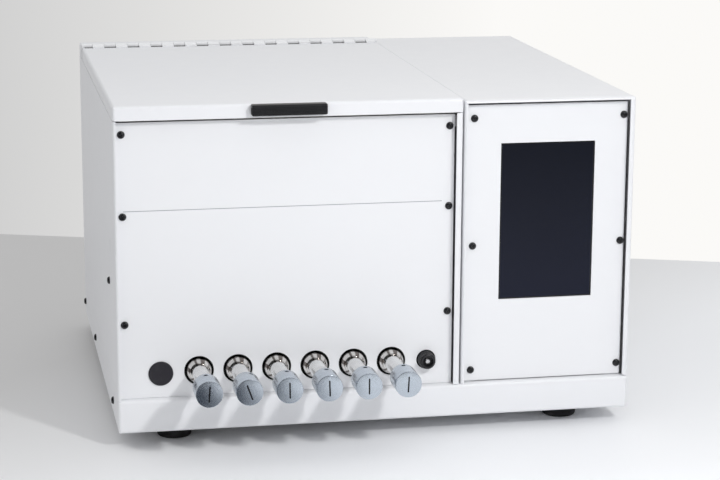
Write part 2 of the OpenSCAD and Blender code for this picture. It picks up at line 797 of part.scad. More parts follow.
module column_nuts() {
    color("goldenrod") for (p = column_ends) translate([p[0], p[1], bracket_z]) difference() {
        union() {
            translate([0, 0, 1.5]) hex_bar(11, 8);
            translate([0, 0, -7]) hex_bar(11, 7);
            translate([0, 0, -1]) cylinder(h = 4, d = 8);
            translate([0, 0, 9.5]) cylinder(h = 3, d = 8);
        }
        translate([0, 0, -10]) cylinder(h = 30, d = column_d + 0.1, $fn = 24);
    }
}

// Bar across the oven that carries the column ends, turned down at both sides
module column_bracket() {
    x0 = oven_x + liner_t + 0.2;
    x1 = oven_x + oven_w - liner_t - 0.2;
    y0 = coil_y - 12;
    y1 = coil_y + coil_l + 12;
    color("gainsboro") difference() {
        block([x0, y0, bracket_z - 14], [x1, y1, bracket_z + 1.5]);
        block([x0 + 1.5, y0 - 1, bracket_z - 15], [x1 - 1.5, y1 + 1, bracket_z]);
        for (p = column_ends) translate([p[0], p[1], bracket_z - 2]) cylinder(h = 5, d = 8.3);
    }
}

// ---- sampling valve and detector ----

standoff_d = 18;
valve_y = oven_y + liner_t + 12;
valve_l = 22;
valve_shaft_d = 6;

// Round valve body with its ring of ports
module sampling_valve() {
    ports = 10;
    color("lightgray") difference() {
        union() {
            turned(oven_mid_x, valve_y + valve_l, valve_z) polygon([[0, 0], [14, 0], [17, 3], [17, valve_l - 4],
                [14, valve_l], [0, valve_l]]);
            for (i = [0:ports - 1]) translate([oven_mid_x, valve_y + valve_l / 2, valve_z])
                rotate([0, i * 360 / ports, 0]) translate([0, 0, 15]) hex_bar(6.4, 9);
        }
        rod_y(oven_mid_x, valve_z, valve_y - 1, valve_y + 14, valve_shaft_d + 2 * running);
    }
}

// Actuator box in the control bay with the hollow standoff that reaches the valve
module valve_actuator() {
    y0 = flange_y + 8;
    y1 = front_bay - 20;
    color("#3d3f45") difference() {
        union() {
            translate([oven_mid_x - 27, y1, valve_z - 30]) rotate([90, 0, 0]) linear_extrude(y1 - y0)
                round_plate(54, 60, 4);
            rod_y(oven_mid_x, valve_z, y1 - 1, valve_y - 1, standoff_d);
        }
        rod_y(oven_mid_x, valve_z, y0 + 10, valve_y + 1, valve_shaft_d + 2 * running);
        rod_y(oven_mid_x, valve_z, y1 - 12, y1 - 4, 20);
    }
}

module valve_rotor() {
    y1 = front_bay - 20;
    color("silver") {
        rod_y(oven_mid_x, valve_z, flange_y + 20, valve_y + 13, valve_shaft_d);
        rod_y(oven_mid_x, valve_z, y1 - 11, y1 - 5, 16);
    }
}

detector_low = [24, flange_y + 18, valve_z - 52];
detector_high = [68, front_bay - 14, valve_z + 14];

module detector_block() {
    mid = (detector_low + detector_high) / 2;
    color("silver") {
        difference() {
            block(detector_low, detector_high);
            translate([mid[0], mid[1], detector_low[2] - 1]) cylinder(h = 20, d = 10);
        }
        for (s = [-1, 1]) translate([mid[0] + s * 11, mid[1], detector_high[2]]) {
            hex_bar(12, 7);
            cylinder(h = 22, d = 5);
        }
    }
}

module detector_jacket() {
    t = 8;
    gap = 0.3;
    wall = [t + gap, t + gap, t + gap];
    color("#e6dfc8") difference() {
        block(detector_low - wall, [detector_high[0] + t + gap, detector_high[1] + t + gap, detector_high[2]]);
        block(detector_low - [gap, gap, gap], detector_high + [gap, gap, 1]);
    }
    color("#e6dfc8") for (z = [detector_low[2] + 6, detector_high[2] - 10])
        rod_y((detector_low[0] + detector_high[0]) / 2, z, detector_high[1] + t, front_bay - liner_t - 0.4, 12);
}

// ---- flow controls ----

line_d = 3.2;
feed_z = control_z + controller_side / 2 + 34;
manifold_z = 10;
manifold_h = 14;
manifold_y = body_y + 12;

// Square blocks behind the panel, each with a threaded nose towards the bonnet
module controller_bodies() {
    color("lightgray") for (x = control_xs) difference() {
        union() {
            translate([x - controller_side / 2, body_y + controller_l, control_z - controller_side / 2])
                rotate([90, 0, 0]) linear_extrude(controller_l) round_plate(controller_side, controller_side, 2);
            translate([x, manifold_y + 8, manifold_z + manifold_h]) hex_bar(9, control_z - controller_side / 2 - manifold_z - manifold_h + 1);
            translate([x, body_y + controller_l - 9, control_z + controller_side / 2 - 1]) hex_bar(9, 9);
        }
        rod_y(x, control_z, body_y - 1, body_y + 24, stem_d + 2 * running);
        translate([x, body_y + controller_l - 9, control_z]) cylinder(h = controller_side, d = line_d + 0.2);
    }
}

// Bonnets: a ring in the panel hole, a groove, a dome and the long neck
module controller_bonnets() {
    neck_r = neck_d / 2;
    ring_r = control_hole_d / 2 - 1.5;
    back = body_y - panel_y;
    reach = panel_y - neck_end;
    dome_r = ring_r - 0.6;
    dome_h = 4.9;
    color("lightgray") for (x = control_xs) difference() {
        union() {
            turned(x, panel_y, control_z) polygon([[0, -back], [ring_r - 1, -back], [ring_r, 1 - back],
                [ring_r, 0.4], [ring_r - 1, 1.4], [dome_r - 2, 1.4], [dome_r - 2, 2.4], [dome_r, 2.4],
                [dome_r, 3.4], [dome_r - dome_h, 3.4], [dome_r - dome_h, 3.4 + dome_h],
                [neck_r, 3.4 + dome_h], [neck_r, reach - 0.8], [neck_r - 0.8, reach], [0, reach]]);
            turned(x, panel_y, control_z) translate([dome_r - dome_h, 3.4]) circle(dome_h);
        }
        rod_y(x, control_z, neck_end - 1, body_y + 1, stem_d + 2 * running);
    }
}

// Knob with its stem: index slot in the face, grub-screw hole, counterbore for the neck
module control_knob(i) {
    x = control_xs[i];
    chamfer = 0.7;
    slot = [1.3, 15.4, 0.9];
    cup_d = neck_d + 1.2;
    cup_l = 3;
    grub_y = knob_face + knob_l - 5.8;
    if (i < control_n) color("#8e99a3") {
        difference() {
            turned(x, knob_face + knob_l, control_z) polygon([[0, 0], [knob_d / 2 - chamfer, 0],
                [knob_d / 2, chamfer], [knob_d / 2, knob_l - chamfer], [knob_d / 2 - chamfer, knob_l], [0, knob_l]]);
            rod_y(x, control_z, knob_face + knob_l - cup_l, knob_face + knob_l + 1, cup_d);
            block([x - slot[0] / 2, knob_face - 1, control_z - slot[1] / 2],
                [x + slot[0] / 2, knob_face + slot[2], control_z + slot[1] / 2]);
            translate([x, grub_y, control_z + 2]) cylinder(h = knob_d, d = 4);
        }
        rod_y(x, control_z, knob_face + 10, body_y + 20, stem_d);
        translate([x, grub_y, control_z + stem_d / 2 + 0.05]) difference() {
            cylinder(h = 6, d = 3.8);
            translate([0, 0, 3.5]) hex_bar(2, 4);
        }
    }
}

module purge_valve_body() {
    color("dimgray") difference() {
        union() {
            rod_y(purge_x, control_z, panel_y - 2, body_y + 26, 10);
            translate([purge_x, body_y, control_z]) rotate([-90, 0, 0]) hex_bar(16, 18);
            rod_y(purge_x, control_z, panel_y + panel_t, body_y, 21);
            translate([purge_x, body_y + 16, control_z]) rotate([-90, 0, 0]) hex_bar(11, 12);
        }
        rod_y(purge_x, control_z, panel_y - 3, body_y + 12, 4 + 2 * running);
    }
}

// Cup-shaped purge knob with a slotted stem in its middle
module purge_knob() {
    out = 9.6;
    r = purge_knob_d / 2;
    color("#202024") {
        difference() {
            turned(purge_x, panel_y + 1, control_z) polygon([[0, 3.6], [5.4, 3.6], [5.4, 0], [r - 0.8, 0], [r, 0.8],
                [r, 4], [r - 0.7, 5], [r - 0.7, out], [r - 1.6, out + 1], [r - 3.2, out + 1], [r - 3.8, out - 3], [0, out - 3]]);
            for (i = [0:23]) translate([purge_x, panel_y, control_z]) rotate([0, i * 15, 0])
                translate([-0.35, -out, r - 1.1]) cube([0.7, out - 4.6, 2]);
        }
        difference() {
            rod_y(purge_x, control_z, panel_y + 1 - out, body_y + 10, 4);
            block([purge_x - 3, panel_y - out, control_z - 0.5], [purge_x + 3, panel_y + 2 - out, control_z + 0.5]);
        }
    }
}

module gas_manifold() {
    x0 = control_xs[0] - 14;
    x1 = control_xs[control_n - 1] + 14;
    color("silver") difference() {
        union() {
            block([x0, manifold_y, manifold_z], [x1, manifold_y + 16, manifold_z + manifold_h]);
            for (x = [x0 + 5, x1 - 5]) translate([x, manifold_y + 8, sheet + 0.1])
                cylinder(h = manifold_z - sheet, d = 9);
        }
        rod_x(manifold_y + 8, manifold_z + 7, x0 - 1, x1 - 10, 5);
        for (x = [x0 + 5, x1 - 5]) translate([x, manifold_y + 8, sheet - 1]) cylinder(h = manifold_h + manifold_z + 2, d = 4);
    }
}

bulkhead_z = 62;
inlet_bore_d = 3.3;
inlet_depth = 15;
bulkhead_hole_d = 10;
bulkhead_xs = [control_xs[0], control_xs[0] + 30, control_xs[0] + 60];
bend_line = 8;
supply_y = body_d - 24;
supply_z = manifold_z + manifold_h / 2;

// Tubes: one feed from each controller into the oven, and the supply from the back
module gas_lines() {
    y0 = body_y + controller_l - 9;
    color("silver") {
        for (x = control_xs) {
            translate([x, y0, control_z + controller_side / 2]) cylinder(h = feed_z - control_z - controller_side / 2 - bend_line, d = line_d, $fn = 24);
            translate([x, y0 + bend_line, feed_z - bend_line]) rotate([90, 0, -90]) quarter_bend(bend_line, line_d);
            rod_y(x, feed_z, y0 + bend_line, oven_y + 8, line_d);
        }
        for (x = bulkhead_xs) {
            rod_y(x, bulkhead_z, supply_y, body_d - 13, line_d);
            translate([x, supply_y, bulkhead_z - bend_line]) rotate([90, 0, -90]) quarter_bend(bend_line, line_d);
            translate([x, supply_y - bend_line, supply_z + bend_line])
                cylinder(h = bulkhead_z - supply_z - 2 * bend_line, d = line_d, $fn = 24);
            translate([x, supply_y - 2 * bend_line, supply_z + bend_line]) rotate([-90, 0, 90])
                quarter_bend(bend_line, line_d);
            rod_y(x, supply_z, manifold_y + 16, supply_y - 2 * bend_line, line_d);
        }
    }
}

module bulkhead_fittings() {
    color("silver") for (x = bulkhead_xs) difference() {
        union() {
            rod_y(x, bulkhead_z, body_d - 14, body_d + bulkhead_out, 9);
            translate([x, body_d, bulkhead_z]) rotate([-90, 0, 0]) hex_bar(13, 4);
            translate([x, body_d - sheet - 4, bulkhead_z]) rotate([-90, 0, 0]) hex_bar(13, 4);
            translate([x, body_d + bulkhead_out - 9, bulkhead_z]) rotate([-90, 0, 0]) hex_bar(11, 8);
        }
        rod_y(x, bulkhead_z, body_d - 15, body_d - 10, line_d + 0.2);
        rod_y(x, bulkhead_z, body_d - 11, body_d, 2);
        rod_y(x, bulkhead_z, body_d + bulkhead_out - inlet_depth, body_d + bulkhead_out + 1, inlet_bore_d);
    }
}

// ---- electronics housing ----

module housing_form(inset, r) {
    w = housing_w - 2 * inset;
    translate([housing_x + inset, inset, wall_z]) intersection() {
        linear_extrude(housing_h - wall_z) round_front(w, body_d, r);
        translate([0, body_d, 0]) rotate([90, 0, 0]) linear_extrude(body_d) round_top(w, housing_h - wall_z - inset, r);
        rotate([90, 0, 90]) linear_extrude(w) front_top(body_d, housing_h - wall_z - inset, r);
    }
}

// Rectangle whose two front corners are round
module round_front(w, d, r) {
    translate([0, r]) square([w, d - r]);
    translate([r, 0]) square([w - 2 * r, d]);
    for (x = [r, w - r]) translate([x, r]) circle(r);
}

// Side profile that is round only at its front top corner
module front_top(d, h, r) {
    translate([r, 0]) square([d - r, h]);
    square([d, h - r]);
    translate([r, h - r]) circle(r);
}

module housing_shell() {
    color("white") difference() {
        union() {
            difference() {
                housing_form(0, bend_r);
                translate([0, 0, -1]) housing_form(sheet, bend_r - sheet);
                block([housing_x + sheet, sheet + 1, 0], [body_w - sheet, body_d + 1, housing_h - bend_r]);
                block([housing_x + lip_w, -1, 0], [body_w - lip_w, sheet + 2, housing_h - lip_w]);
            }
            for (x = [housing_x + sheet / 2, body_w - sheet / 2 - 14])
                block([x, body_d - 2 * sheet - seam, wall_z], [x + 14, body_d - sheet - seam, housing_h - sheet / 2]);
            translate([body_w, 0, 0]) mirror([1, 0, 0]) tab_block();
        }
        for (y = case_screw_ys) rod_x(y, case_screw_z, body_w - 8, body_w + 1, screw_d + 0.4);
        rod_x(side_screw[0], side_screw[1], body_w - 3, body_w + 1, screw_d + 0.2);
        for (z = rear_screw_zs, x = [housing_x + 9, body_w - 9]) rod_y(x, z, body_d - 8, body_d + 1, screw_d + 0.2);
    }
}

module display_panel() {
    color("white") difference() {
        block([display_panel_x[0], panel_y, display_panel_z],
            [display_panel_x[1], panel_y + panel_t, display_panel_top]);
        block([display_x0, panel_y - 1, display_z], [display_x0 + display_w, panel_y + panel_t + 1, display_z + display_h]);
        for (x = display_screw_xs, z = display_screw_zs) rod_y(x, z, 0, flange_y + 5, screw_d + 0.4);
    }
}

// Touch glass: a border behind the panel and a raised field that fills the opening
module touch_display() {
    border = 6;
    fit = 0.25;
    color("#10121c") {
        block([display_x0 - border, panel_y + panel_t + 0.1, display_z - border],
            [display_x0 + display_w + border, panel_y + panel_t + 2.2, display_z + display_h + border]);
        block([display_x0 + fit, panel_y + 0.5, display_z + fit],
            [display_x0 + display_w - fit, panel_y + panel_t + 1, display_z + display_h - fit]);
    }
}

module_y = flange_y + sheet + 2;
board_y = module_y + 22;

module display_module() {
    low = [display_x0 - 5, panel_y + panel_t + 2.3, display_z - 5];
    high = [display_x0 + display_w + 5, module_y + 7, display_z + display_h + 5];
    color("gray") difference() {
        block(low, high);
        block([low[0] + 6, high[1] - 2, low[2] + 6], [high[0] - 6, high[1] + 1, high[2] - 6]);
    }
}

module control_board() {
    low = [display_x0 - 4, board_y, display_z - 12];
    high = [display_x0 + display_w + 4, board_y + 1.6, display_z + display_h + 12];
    mid_x = (low[0] + high[0]) / 2;
    color("darkgreen") {
        block(low, high);
        for (x = [low[0] + 8, high[0] - 8], z = [display_z + 4, display_z + display_h - 4]) rod_y(x, z, module_y + 6.5, board_y + 3, 6);
        block([mid_x - 16, board_y, low[2] + 90], [mid_x + 16, board_y + 5, low[2] + 122]);
        for (i = [0:8]) block([mid_x - 14 + i * 3.3, board_y + 5, low[2] + 92], [mid_x - 12.6 + i * 3.3, board_y + 14, low[2] + 120]);
        for (i = [0:3]) block([low[0] + 6 + i * 22, board_y, low[2] + 4], [low[0] + 22 + i * 22, board_y + 11, low[2] + 16]);
        for (i = [0:2]) rod_y(low[0] + 18 + i * 14, low[2] + 50, board_y, board_y + 16, 9);
    }
}

// Supply in a folded cage with a vented top
module power_supply() {
    low = [housing_x + 20, body_d - 190, sheet + 5];
    high = [housing_x + 118, body_d - 40, sheet + 50];
    color("silver") {
        difference() {
            block(low, high);
            block([low[0] + 1.2, low[1] - 1, low[2] + 1.2], [high[0] - 1.2, high[1] - 12, high[2] - 1.2]);
            for (i = [0:10], j = [0:4]) translate([low[0] + 15 + j * 17, low[1] + 10 + i * 12, high[2] - 3])
                cylinder(h = 5, d = 6);
        }
        block([low[0] + 4, low[1] + 4, low[2] + 1], [high[0] - 4, high[1] - 12, low[2] + 3]);
        block([low[0] + 30, low[1] + 40, low[2] + 2], [low[0] + 66, low[1] + 76, low[2] + 32]);
        for (x = [low[0] + 10, high[0] - 10], y = [low[1] + 12, high[1] - 12])
            translate([x, y, sheet]) cylinder(h = 6, d = 6);
    }
}

inlet_x = body_w - 46;
inlet_z = 84;
inlet_hole = [28, 20.5];
switch_z = inlet_z + 34;
switch_hole = [13.2, 19.4];

module electronics_rear_panel() {
    edge = sheet + seam;
    color("whitesmoke") difference() {
        block([housing_x + edge, body_d - sheet, wall_z], [body_w - edge, body_d, housing_h - bend_r - seam]);
        for (z = rear_screw_zs, x = [housing_x + 9, body_w - 9]) rod_y(x, z, body_d - 5, body_d + 1, screw_d + 0.2);
        block([inlet_x - inlet_hole[0] / 2, body_d - 5, inlet_z - inlet_hole[1] / 2],
            [inlet_x + inlet_hole[0] / 2, body_d + 1, inlet_z + inlet_hole[1] / 2]);
        block([inlet_x - switch_hole[0] / 2, body_d - 5, switch_z - switch_hole[1] / 2],
            [inlet_x + switch_hole[0] / 2, body_d + 1, switch_z + switch_hole[1] / 2]);
        for (i = [0:11]) translate([housing_x + 40, body_d + 1, housing_h - 118 + i * 8])
            rotate([90, 0, 0]) linear_extrude(sheet + 2) round_plate(88, 3.6, 1.7);
    }
}

// Mains inlet: flange, socket with three blades, body behind the panel
module power_inlet() {
    flange = [40, 26];
    cavity = [23, 15.5];
    back = 22;
    color("#232327") {
        difference() {
            union() {
                translate([inlet_x - flange[0] / 2, body_d + 3, inlet_z - flange[1] / 2]) rotate([90, 0, 0])
                    linear_extrude(3) round_plate(flange[0], flange[1], 4);
                block([inlet_x - inlet_hole[0] / 2 + 0.2, body_d - back, inlet_z - inlet_hole[1] / 2 + 0.2],
                    [inlet_x + inlet_hole[0] / 2 - 0.2, body_d + 1, inlet_z + inlet_hole[1] / 2 - 0.2]);
            }
            translate([inlet_x - cavity[0] / 2, body_d + 4, inlet_z - cavity[1] / 2]) rotate([90, 0, 0])
                linear_extrude(20) round_plate(cavity[0], cavity[1], 2);
        }
        for (p = [[-7, -1.6], [0, 2.4], [7, -1.6]])
            block([inlet_x + p[0] - 1, body_d - 17, inlet_z + p[1] - 2], [inlet_x + p[0] + 1, body_d - 4, inlet_z + p[1] + 2]);
    }
}

switch_body_depth = 16;
rocker_r = 14;
rocker_pivot_y = body_d - 5;

module switch_body() {
    bezel = 2;
    w = switch_hole[0];
    h = switch_hole[1];
    color("#232327") difference() {
        union() {
            translate([inlet_x - w / 2 - bezel, body_d + 2, switch_z - h / 2 - bezel]) rotate([90, 0, 0])
                linear_extrude(2) round_plate(w + 2 * bezel, h + 2 * bezel, 1.5);
            block([inlet_x - w / 2 + 0.2, body_d - switch_body_depth, switch_z - h / 2 + 0.2],
                [inlet_x + w / 2 - 0.2, body_d + 1, switch_z + h / 2 - 0.2]);
        }
        block([inlet_x - w / 2 + 1.4, body_d - 12, switch_z - h / 2 + 1.2],
            [inlet_x + w / 2 - 1.4, body_d + 3, switch_z + h / 2 - 1.2]);
        rod_x(rocker_pivot_y, switch_z, inlet_x - w / 2 + 0.6, inlet_x + w / 2 - 0.6, 3 + 2 * running);
    }
}

// Rocker: a dished face of two flats that meet in a shallow valley, on a cross pin
module switch_rocker() {
    w = switch_hole[0] - 3.6;
    half = switch_hole[1] / 2 - 2.2;
    color("#151518") {
        translate([inlet_x - w / 2, 0, 0]) rotate([90, 0, 90]) linear_extrude(w) translate([rocker_pivot_y, switch_z])
            rotate(-8) polygon([[-2, -3], [0, -half + 1.4], [4.6, -half], [7.4, -half + 0.4], [6, 0], [7.4, half - 0.4], [4.6, half],
                [0, half - 1.4], [-2, 3]]);
        rod_x(rocker_pivot_y, switch_z, inlet_x - w / 2 - 0.8, inlet_x + w / 2 + 0.8, 3);
    }
}

in_frame() base_pan();
in_frame() rubber_feet();
in_frame() foot_screws();
in_frame() case_screws();
in_frame() cabinet_left_side();
in_frame() cabinet_right_side();
in_frame() oven_rear_panel();
in_frame() rear_top_cover();
in_frame() oven_front_panel();
in_frame() panel_frames();
in_frame() hole_plug();
in_frame() lid_shell();
in_frame() lid_insulation();
in_frame() lid_liner();
in_frame() lid_seal();
in_frame() lid_handle();
in_frame() handle_screws();
in_frame() hinge_lid_leaf();
in_frame() hinge_fixed_leaf();
in_frame() hinge_pin();
in_frame() oven_chassis();
in_frame() oven_liner();
in_frame() oven_insulation();
in_frame() oven_heater();
in_frame() fan_baffle();
in_frame() fan_motor();
in_frame() fan_impeller();
in_frame() fan_shaft();
in_frame() column_a();
in_frame() column_b();
in_frame() column_nuts();
in_frame() column_bracket();
in_frame() sampling_valve();
in_frame() valve_actuator();
in_frame() valve_rotor();
in_frame() detector_block();
in_frame() detector_jacket();
in_frame() controller_bodies();
in_frame() controller_bonnets();
in_frame() control_knob(0);  // control_knob_1
in_frame() control_knob(1);  // control_knob_2
in_frame() control_knob(2);  // control_knob_3
in_frame() control_knob(3);  // control_knob_4
in_frame() control_knob(4);  // control_knob_5
in_frame() control_knob(5);  // control_knob_6
in_frame() purge_valve_body();
in_frame() purge_knob();
in_frame() gas_manifold();
in_frame() gas_lines();
in_frame() bulkhead_fittings();
in_frame() housing_shell();
in_frame() display_panel();
in_frame() touch_display();
in_frame() display_module();
in_frame() control_board();
in_frame() power_supply();
in_frame() electronics_rear_panel();
in_frame() power_inlet();
in_frame() switch_body();
in_frame() switch_rocker();
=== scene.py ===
import math
import random

import bmesh
import bpy
from mathutils import Matrix, Vector


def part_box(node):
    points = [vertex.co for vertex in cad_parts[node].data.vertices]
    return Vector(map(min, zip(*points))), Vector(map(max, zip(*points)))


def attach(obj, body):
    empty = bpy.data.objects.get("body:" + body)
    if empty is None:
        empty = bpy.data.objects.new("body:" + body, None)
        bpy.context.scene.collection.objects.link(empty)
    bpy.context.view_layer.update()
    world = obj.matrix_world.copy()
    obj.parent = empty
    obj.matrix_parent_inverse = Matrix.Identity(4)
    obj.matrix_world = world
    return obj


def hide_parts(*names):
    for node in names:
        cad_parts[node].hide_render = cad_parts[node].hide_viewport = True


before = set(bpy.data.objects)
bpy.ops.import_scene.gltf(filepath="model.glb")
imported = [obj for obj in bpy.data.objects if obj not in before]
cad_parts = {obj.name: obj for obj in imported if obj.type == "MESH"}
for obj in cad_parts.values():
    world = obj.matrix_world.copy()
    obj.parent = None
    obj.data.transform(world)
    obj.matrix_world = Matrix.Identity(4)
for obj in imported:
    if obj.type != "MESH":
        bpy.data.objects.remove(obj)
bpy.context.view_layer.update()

scene = bpy.context.scene
scene.view_settings.view_transform = "Standard"

# the case's left front bottom corner in the frame, in metres; pieces are drawn from it in mm
caseZero = Vector((-0.249, -0.2005, 0.0156))
metre = 0.001
# the part of a noise's range that holds most of its values
noiseRange = (0.3, 0.7)

print("stage: frame loaded")


def newFinish(name):
    mat = bpy.data.materials.new(name)
    mat.use_nodes = True
    tree = mat.node_tree
    shader = tree.nodes["Principled BSDF"]
    return mat, tree, shader


def addNode(tree, kind, **values):
    node = tree.nodes.new(kind)
    for key, value in values.items():
        if key in node.inputs:
            node.inputs[key].default_value = value
        else:
            setattr(node, key, value)
    return node


def objectPoint(tree, stretch=(1, 1, 1), move=(0, 0, 0), turn=(0, 0, 0)):
    point = addNode(tree, "ShaderNodeTexCoord")
    mapping = addNode(tree, "ShaderNodeMapping")
    mapping.inputs["Scale"].default_value = stretch
    mapping.inputs["Location"].default_value = move
    mapping.inputs["Rotation"].default_value = turn
    tree.links.new(point.outputs["Object"], mapping.inputs["Vector"])
    return mapping.outputs["Vector"]


def apart(tree, vector):
    split = addNode(tree, "ShaderNodeSeparateXYZ")
    tree.links.new(vector, split.inputs["Vector"])
    return split.outputs


def noiseValue(tree, vector, scale, detail=2.0, rough=0.5, kind="3D"):
    node = addNode(tree, "ShaderNodeTexNoise", Scale=scale, Detail=detail, Roughness=rough)
    node.noise_dimensions = kind
    tree.links.new(vector, node.inputs["Vector"])
    return node.outputs["Fac"]


def spread(tree, value, low, high, fromLow=0.0, fromHigh=1.0):
    node = addNode(tree, "ShaderNodeMapRange")
    node.inputs["From Min"].default_value = fromLow
    node.inputs["From Max"].default_value = fromHigh
    node.inputs["To Min"].default_value = low
    node.inputs["To Max"].default_value = high
    tree.links.new(value, node.inputs["Value"])
    return node.outputs["Result"]


def blendColours(tree, value, first, second):
    node = addNode(tree, "ShaderNodeMix", data_type="RGBA")
    for socket, colour in ((6, first), (7, second)):
        if isinstance(colour, bpy.types.NodeSocket):
            tree.links.new(colour, node.inputs[socket])
        else:
            node.inputs[socket].default_value = (*colour, 1)
    tree.links.new(value, node.inputs[0])
    return node.outputs[2]


def combine(tree, operation, first, second):
    node = addNode(tree, "ShaderNodeMath", operation=operation)
    for i, value in enumerate((first, second)):
        if isinstance(value, bpy.types.NodeSocket):
            tree.links.new(value, node.inputs[i])
        else:
            node.inputs[i].default_value = value
    return node.outputs[0]


# the given share of the first value and the rest of the second
def mixTones(tree, first, second, share):
    first = combine(tree, "MULTIPLY", first, share)
    return combine(tree, "ADD", first, combine(tree, "MULTIPLY", second, 1 - share))


def bumpFrom(tree, shader, height, distance, strength=1.0):
    node = addNode(tree, "ShaderNodeBump")
    node.inputs["Strength"].default_value = strength
    node.inputs["Distance"].default_value = distance
    tree.links.new(height, node.inputs["Height"])
    tree.links.new(node.outputs["Normal"], shader.inputs["Normal"])


# powder coat: a fine orange peel, a slow drift of tone and a broken gloss
def powderCoat(name, coat):
    mat, tree, shader = newFinish(name)
    point = objectPoint(tree)
    drift = noiseValue(tree, point, coat["driftScale"], 3.0)
    pale = [c * coat["drift"] for c in coat["colour"]]
    colour = blendColours(tree, drift, coat["colour"], pale)
    tree.links.new(colour, shader.inputs["Base Color"])
    peel = noiseValue(tree, point, coat["peelScale"], 2.0, 0.4)
    grain = noiseValue(tree, point, coat["grainScale"], 1.0)
    height = combine(tree, "ADD", peel, combine(tree, "MULTIPLY", grain, coat["grainShare"]))
    bumpFrom(tree, shader, height, coat["peelDepth"])
    gloss = noiseValue(tree, point, coat["glossScale"], 2.0)
    wander = coat["glossWander"]
    gloss = spread(tree, gloss, coat["rough"] - wander, coat["rough"] + wander, *noiseRange)
    tree.links.new(gloss, shader.inputs["Roughness"])
    shader.inputs["Specular IOR Level"].default_value = coat["specular"]
    return mat, tree, shader, colour


# bare sheet metal: grain drawn along one axis, faint patches and rubbed gloss
def drawnMetal(name, sheet):
    mat, tree, shader = newFinish(name)
    grainPoint = objectPoint(tree, sheet["stretch"])
    point = objectPoint(tree)
    grain = noiseValue(tree, grainPoint, sheet["grainScale"], 3.0, 0.6)
    patch = noiseValue(tree, point, sheet["patchScale"], 3.0)
    tone = mixTones(tree, grain, patch, 0.6)
    blend = spread(tree, tone, 0.0, 1.0, *noiseRange)
    colour = blendColours(tree, blend, sheet["dark"], sheet["light"])
    tree.links.new(colour, shader.inputs["Base Color"])
    rough = spread(tree, tone, sheet["rough"] - 0.08, sheet["rough"] + 0.1, *noiseRange)
    tree.links.new(rough, shader.inputs["Roughness"])
    shader.inputs["Metallic"].default_value = 1.0
    bumpFrom(tree, shader, grain, sheet["depth"])
    return mat


# turned metal: rings cut by the tool, read from each piece's own map of its section
def turnedMetal(name, turning):
    mat, tree, shader = newFinish(name)
    section = addNode(tree, "ShaderNodeUVMap", uv_map="section")
    length = addNode(tree, "ShaderNodeVectorMath", operation="LENGTH")
    tree.links.new(section.outputs["UV"], length.inputs[0])
    point = objectPoint(tree)
    rings = addNode(tree, "ShaderNodeCombineXYZ")
    tree.links.new(length.outputs["Value"], rings.inputs["X"])
    along = combine(tree, "DIVIDE", apart(tree, point)["Y"], metre)
    tree.links.new(along, rings.inputs["Y"])
    cut = noiseValue(tree, rings.outputs["Vector"], turning["ringScale"], 2.0, 0.6, "2D")
    patch = noiseValue(tree, point, 90.0, 2.0)
    tone = mixTones(tree, cut, patch, 0.7)
    blend = spread(tree, tone, 0.0, 1.0, *noiseRange)
    colour = blendColours(tree, blend, turning["dark"], turning["light"])
    # dark radial streaks mixed into the colour: painted reflection of dark surroundings in the polished
    # metal
    if "reflectionStreak" in turning:
        heading = addNode(tree, "ShaderNodeVectorMath", operation="NORMALIZE")
        tree.links.new(section.outputs["UV"], heading.inputs[0])
        fan = noiseValue(tree, heading.outputs["Vector"], turning["reflectionStreakScale"], 1.0, 0.5, "2D")
        fan = spread(tree, fan, 1.0, 0.0, *turning["reflectionStreakRange"])
        colour = blendColours(tree, fan, colour, turning["reflectionStreak"])
    tree.links.new(colour, shader.inputs["Base Color"])
    wander = turning["wander"]
    rough = spread(tree, tone, turning["rough"] - wander, turning["rough"] + wander, *noiseRange)
    tree.links.new(rough, shader.inputs["Roughness"])
    shader.inputs["Metallic"].default_value = 1.0
    bumpFrom(tree, shader, cut, turning["depth"])
    return mat


# moulded plastic, rubber and dark paint: fine spark texture with a little dust in it
def mouldedSurface(name, mould):
    mat, tree, shader = newFinish(name)
    point = objectPoint(tree)
    spark = noiseValue(tree, point, mould["sparkScale"], 3.0, 0.6)
    dust = noiseValue(tree, point, mould["dustScale"], 4.0)
    mask = spread(tree, dust, 0.0, mould["dust"], 0.45, 0.8)
    colour = blendColours(tree, mask, mould["colour"], mould["worn"])
    tree.links.new(colour, shader.inputs["Base Color"])
    rough = spread(tree, spark, mould["rough"] - 0.07, mould["rough"] + 0.07, *noiseRange)
    tree.links.new(rough, shader.inputs["Roughness"])
    shader.inputs["Specular IOR Level"].default_value = mould["specular"]
    bumpFrom(tree, shader, spark, mould["depth"])
    return mat


# ceramic fibre: matted threads in three directions over soft lumps
def fibreWool(name, wool):
    mat, tree, shader = newFinish(name)
    point = objectPoint(tree)
    total = None
    for turn in ((0, 0, 0.4), (0.9, 0, 1.3), (0.3, 1.1, 2.2)):
        drawn = objectPoint(tree, (1, 7, 7), (0, 0, 0), turn)
        strand = noiseValue(tree, drawn, wool["strandScale"], 2.0, 0.7)
        total = strand if total is None else combine(tree, "ADD", total, strand)
    lumps = noiseValue(tree, point, wool["lumpScale"], 3.0)
    threads = combine(tree, "MULTIPLY", total, 0.25)
    tone = combine(tree, "ADD", threads, combine(tree, "MULTIPLY", lumps, 0.3))
    blend = spread(tree, tone, 0.0, 1.0, 0.35, 0.7)
    colour = blendColours(tree, blend, wool["dark"], wool["light"])
    tree.links.new(colour, shader.inputs["Base Color"])
    shader.inputs["Roughness"].default_value = 0.95
    shader.inputs["Specular IOR Level"].default_value = 0.1
    bumpFrom(tree, shader, tone, wool["depth"])
    return mat


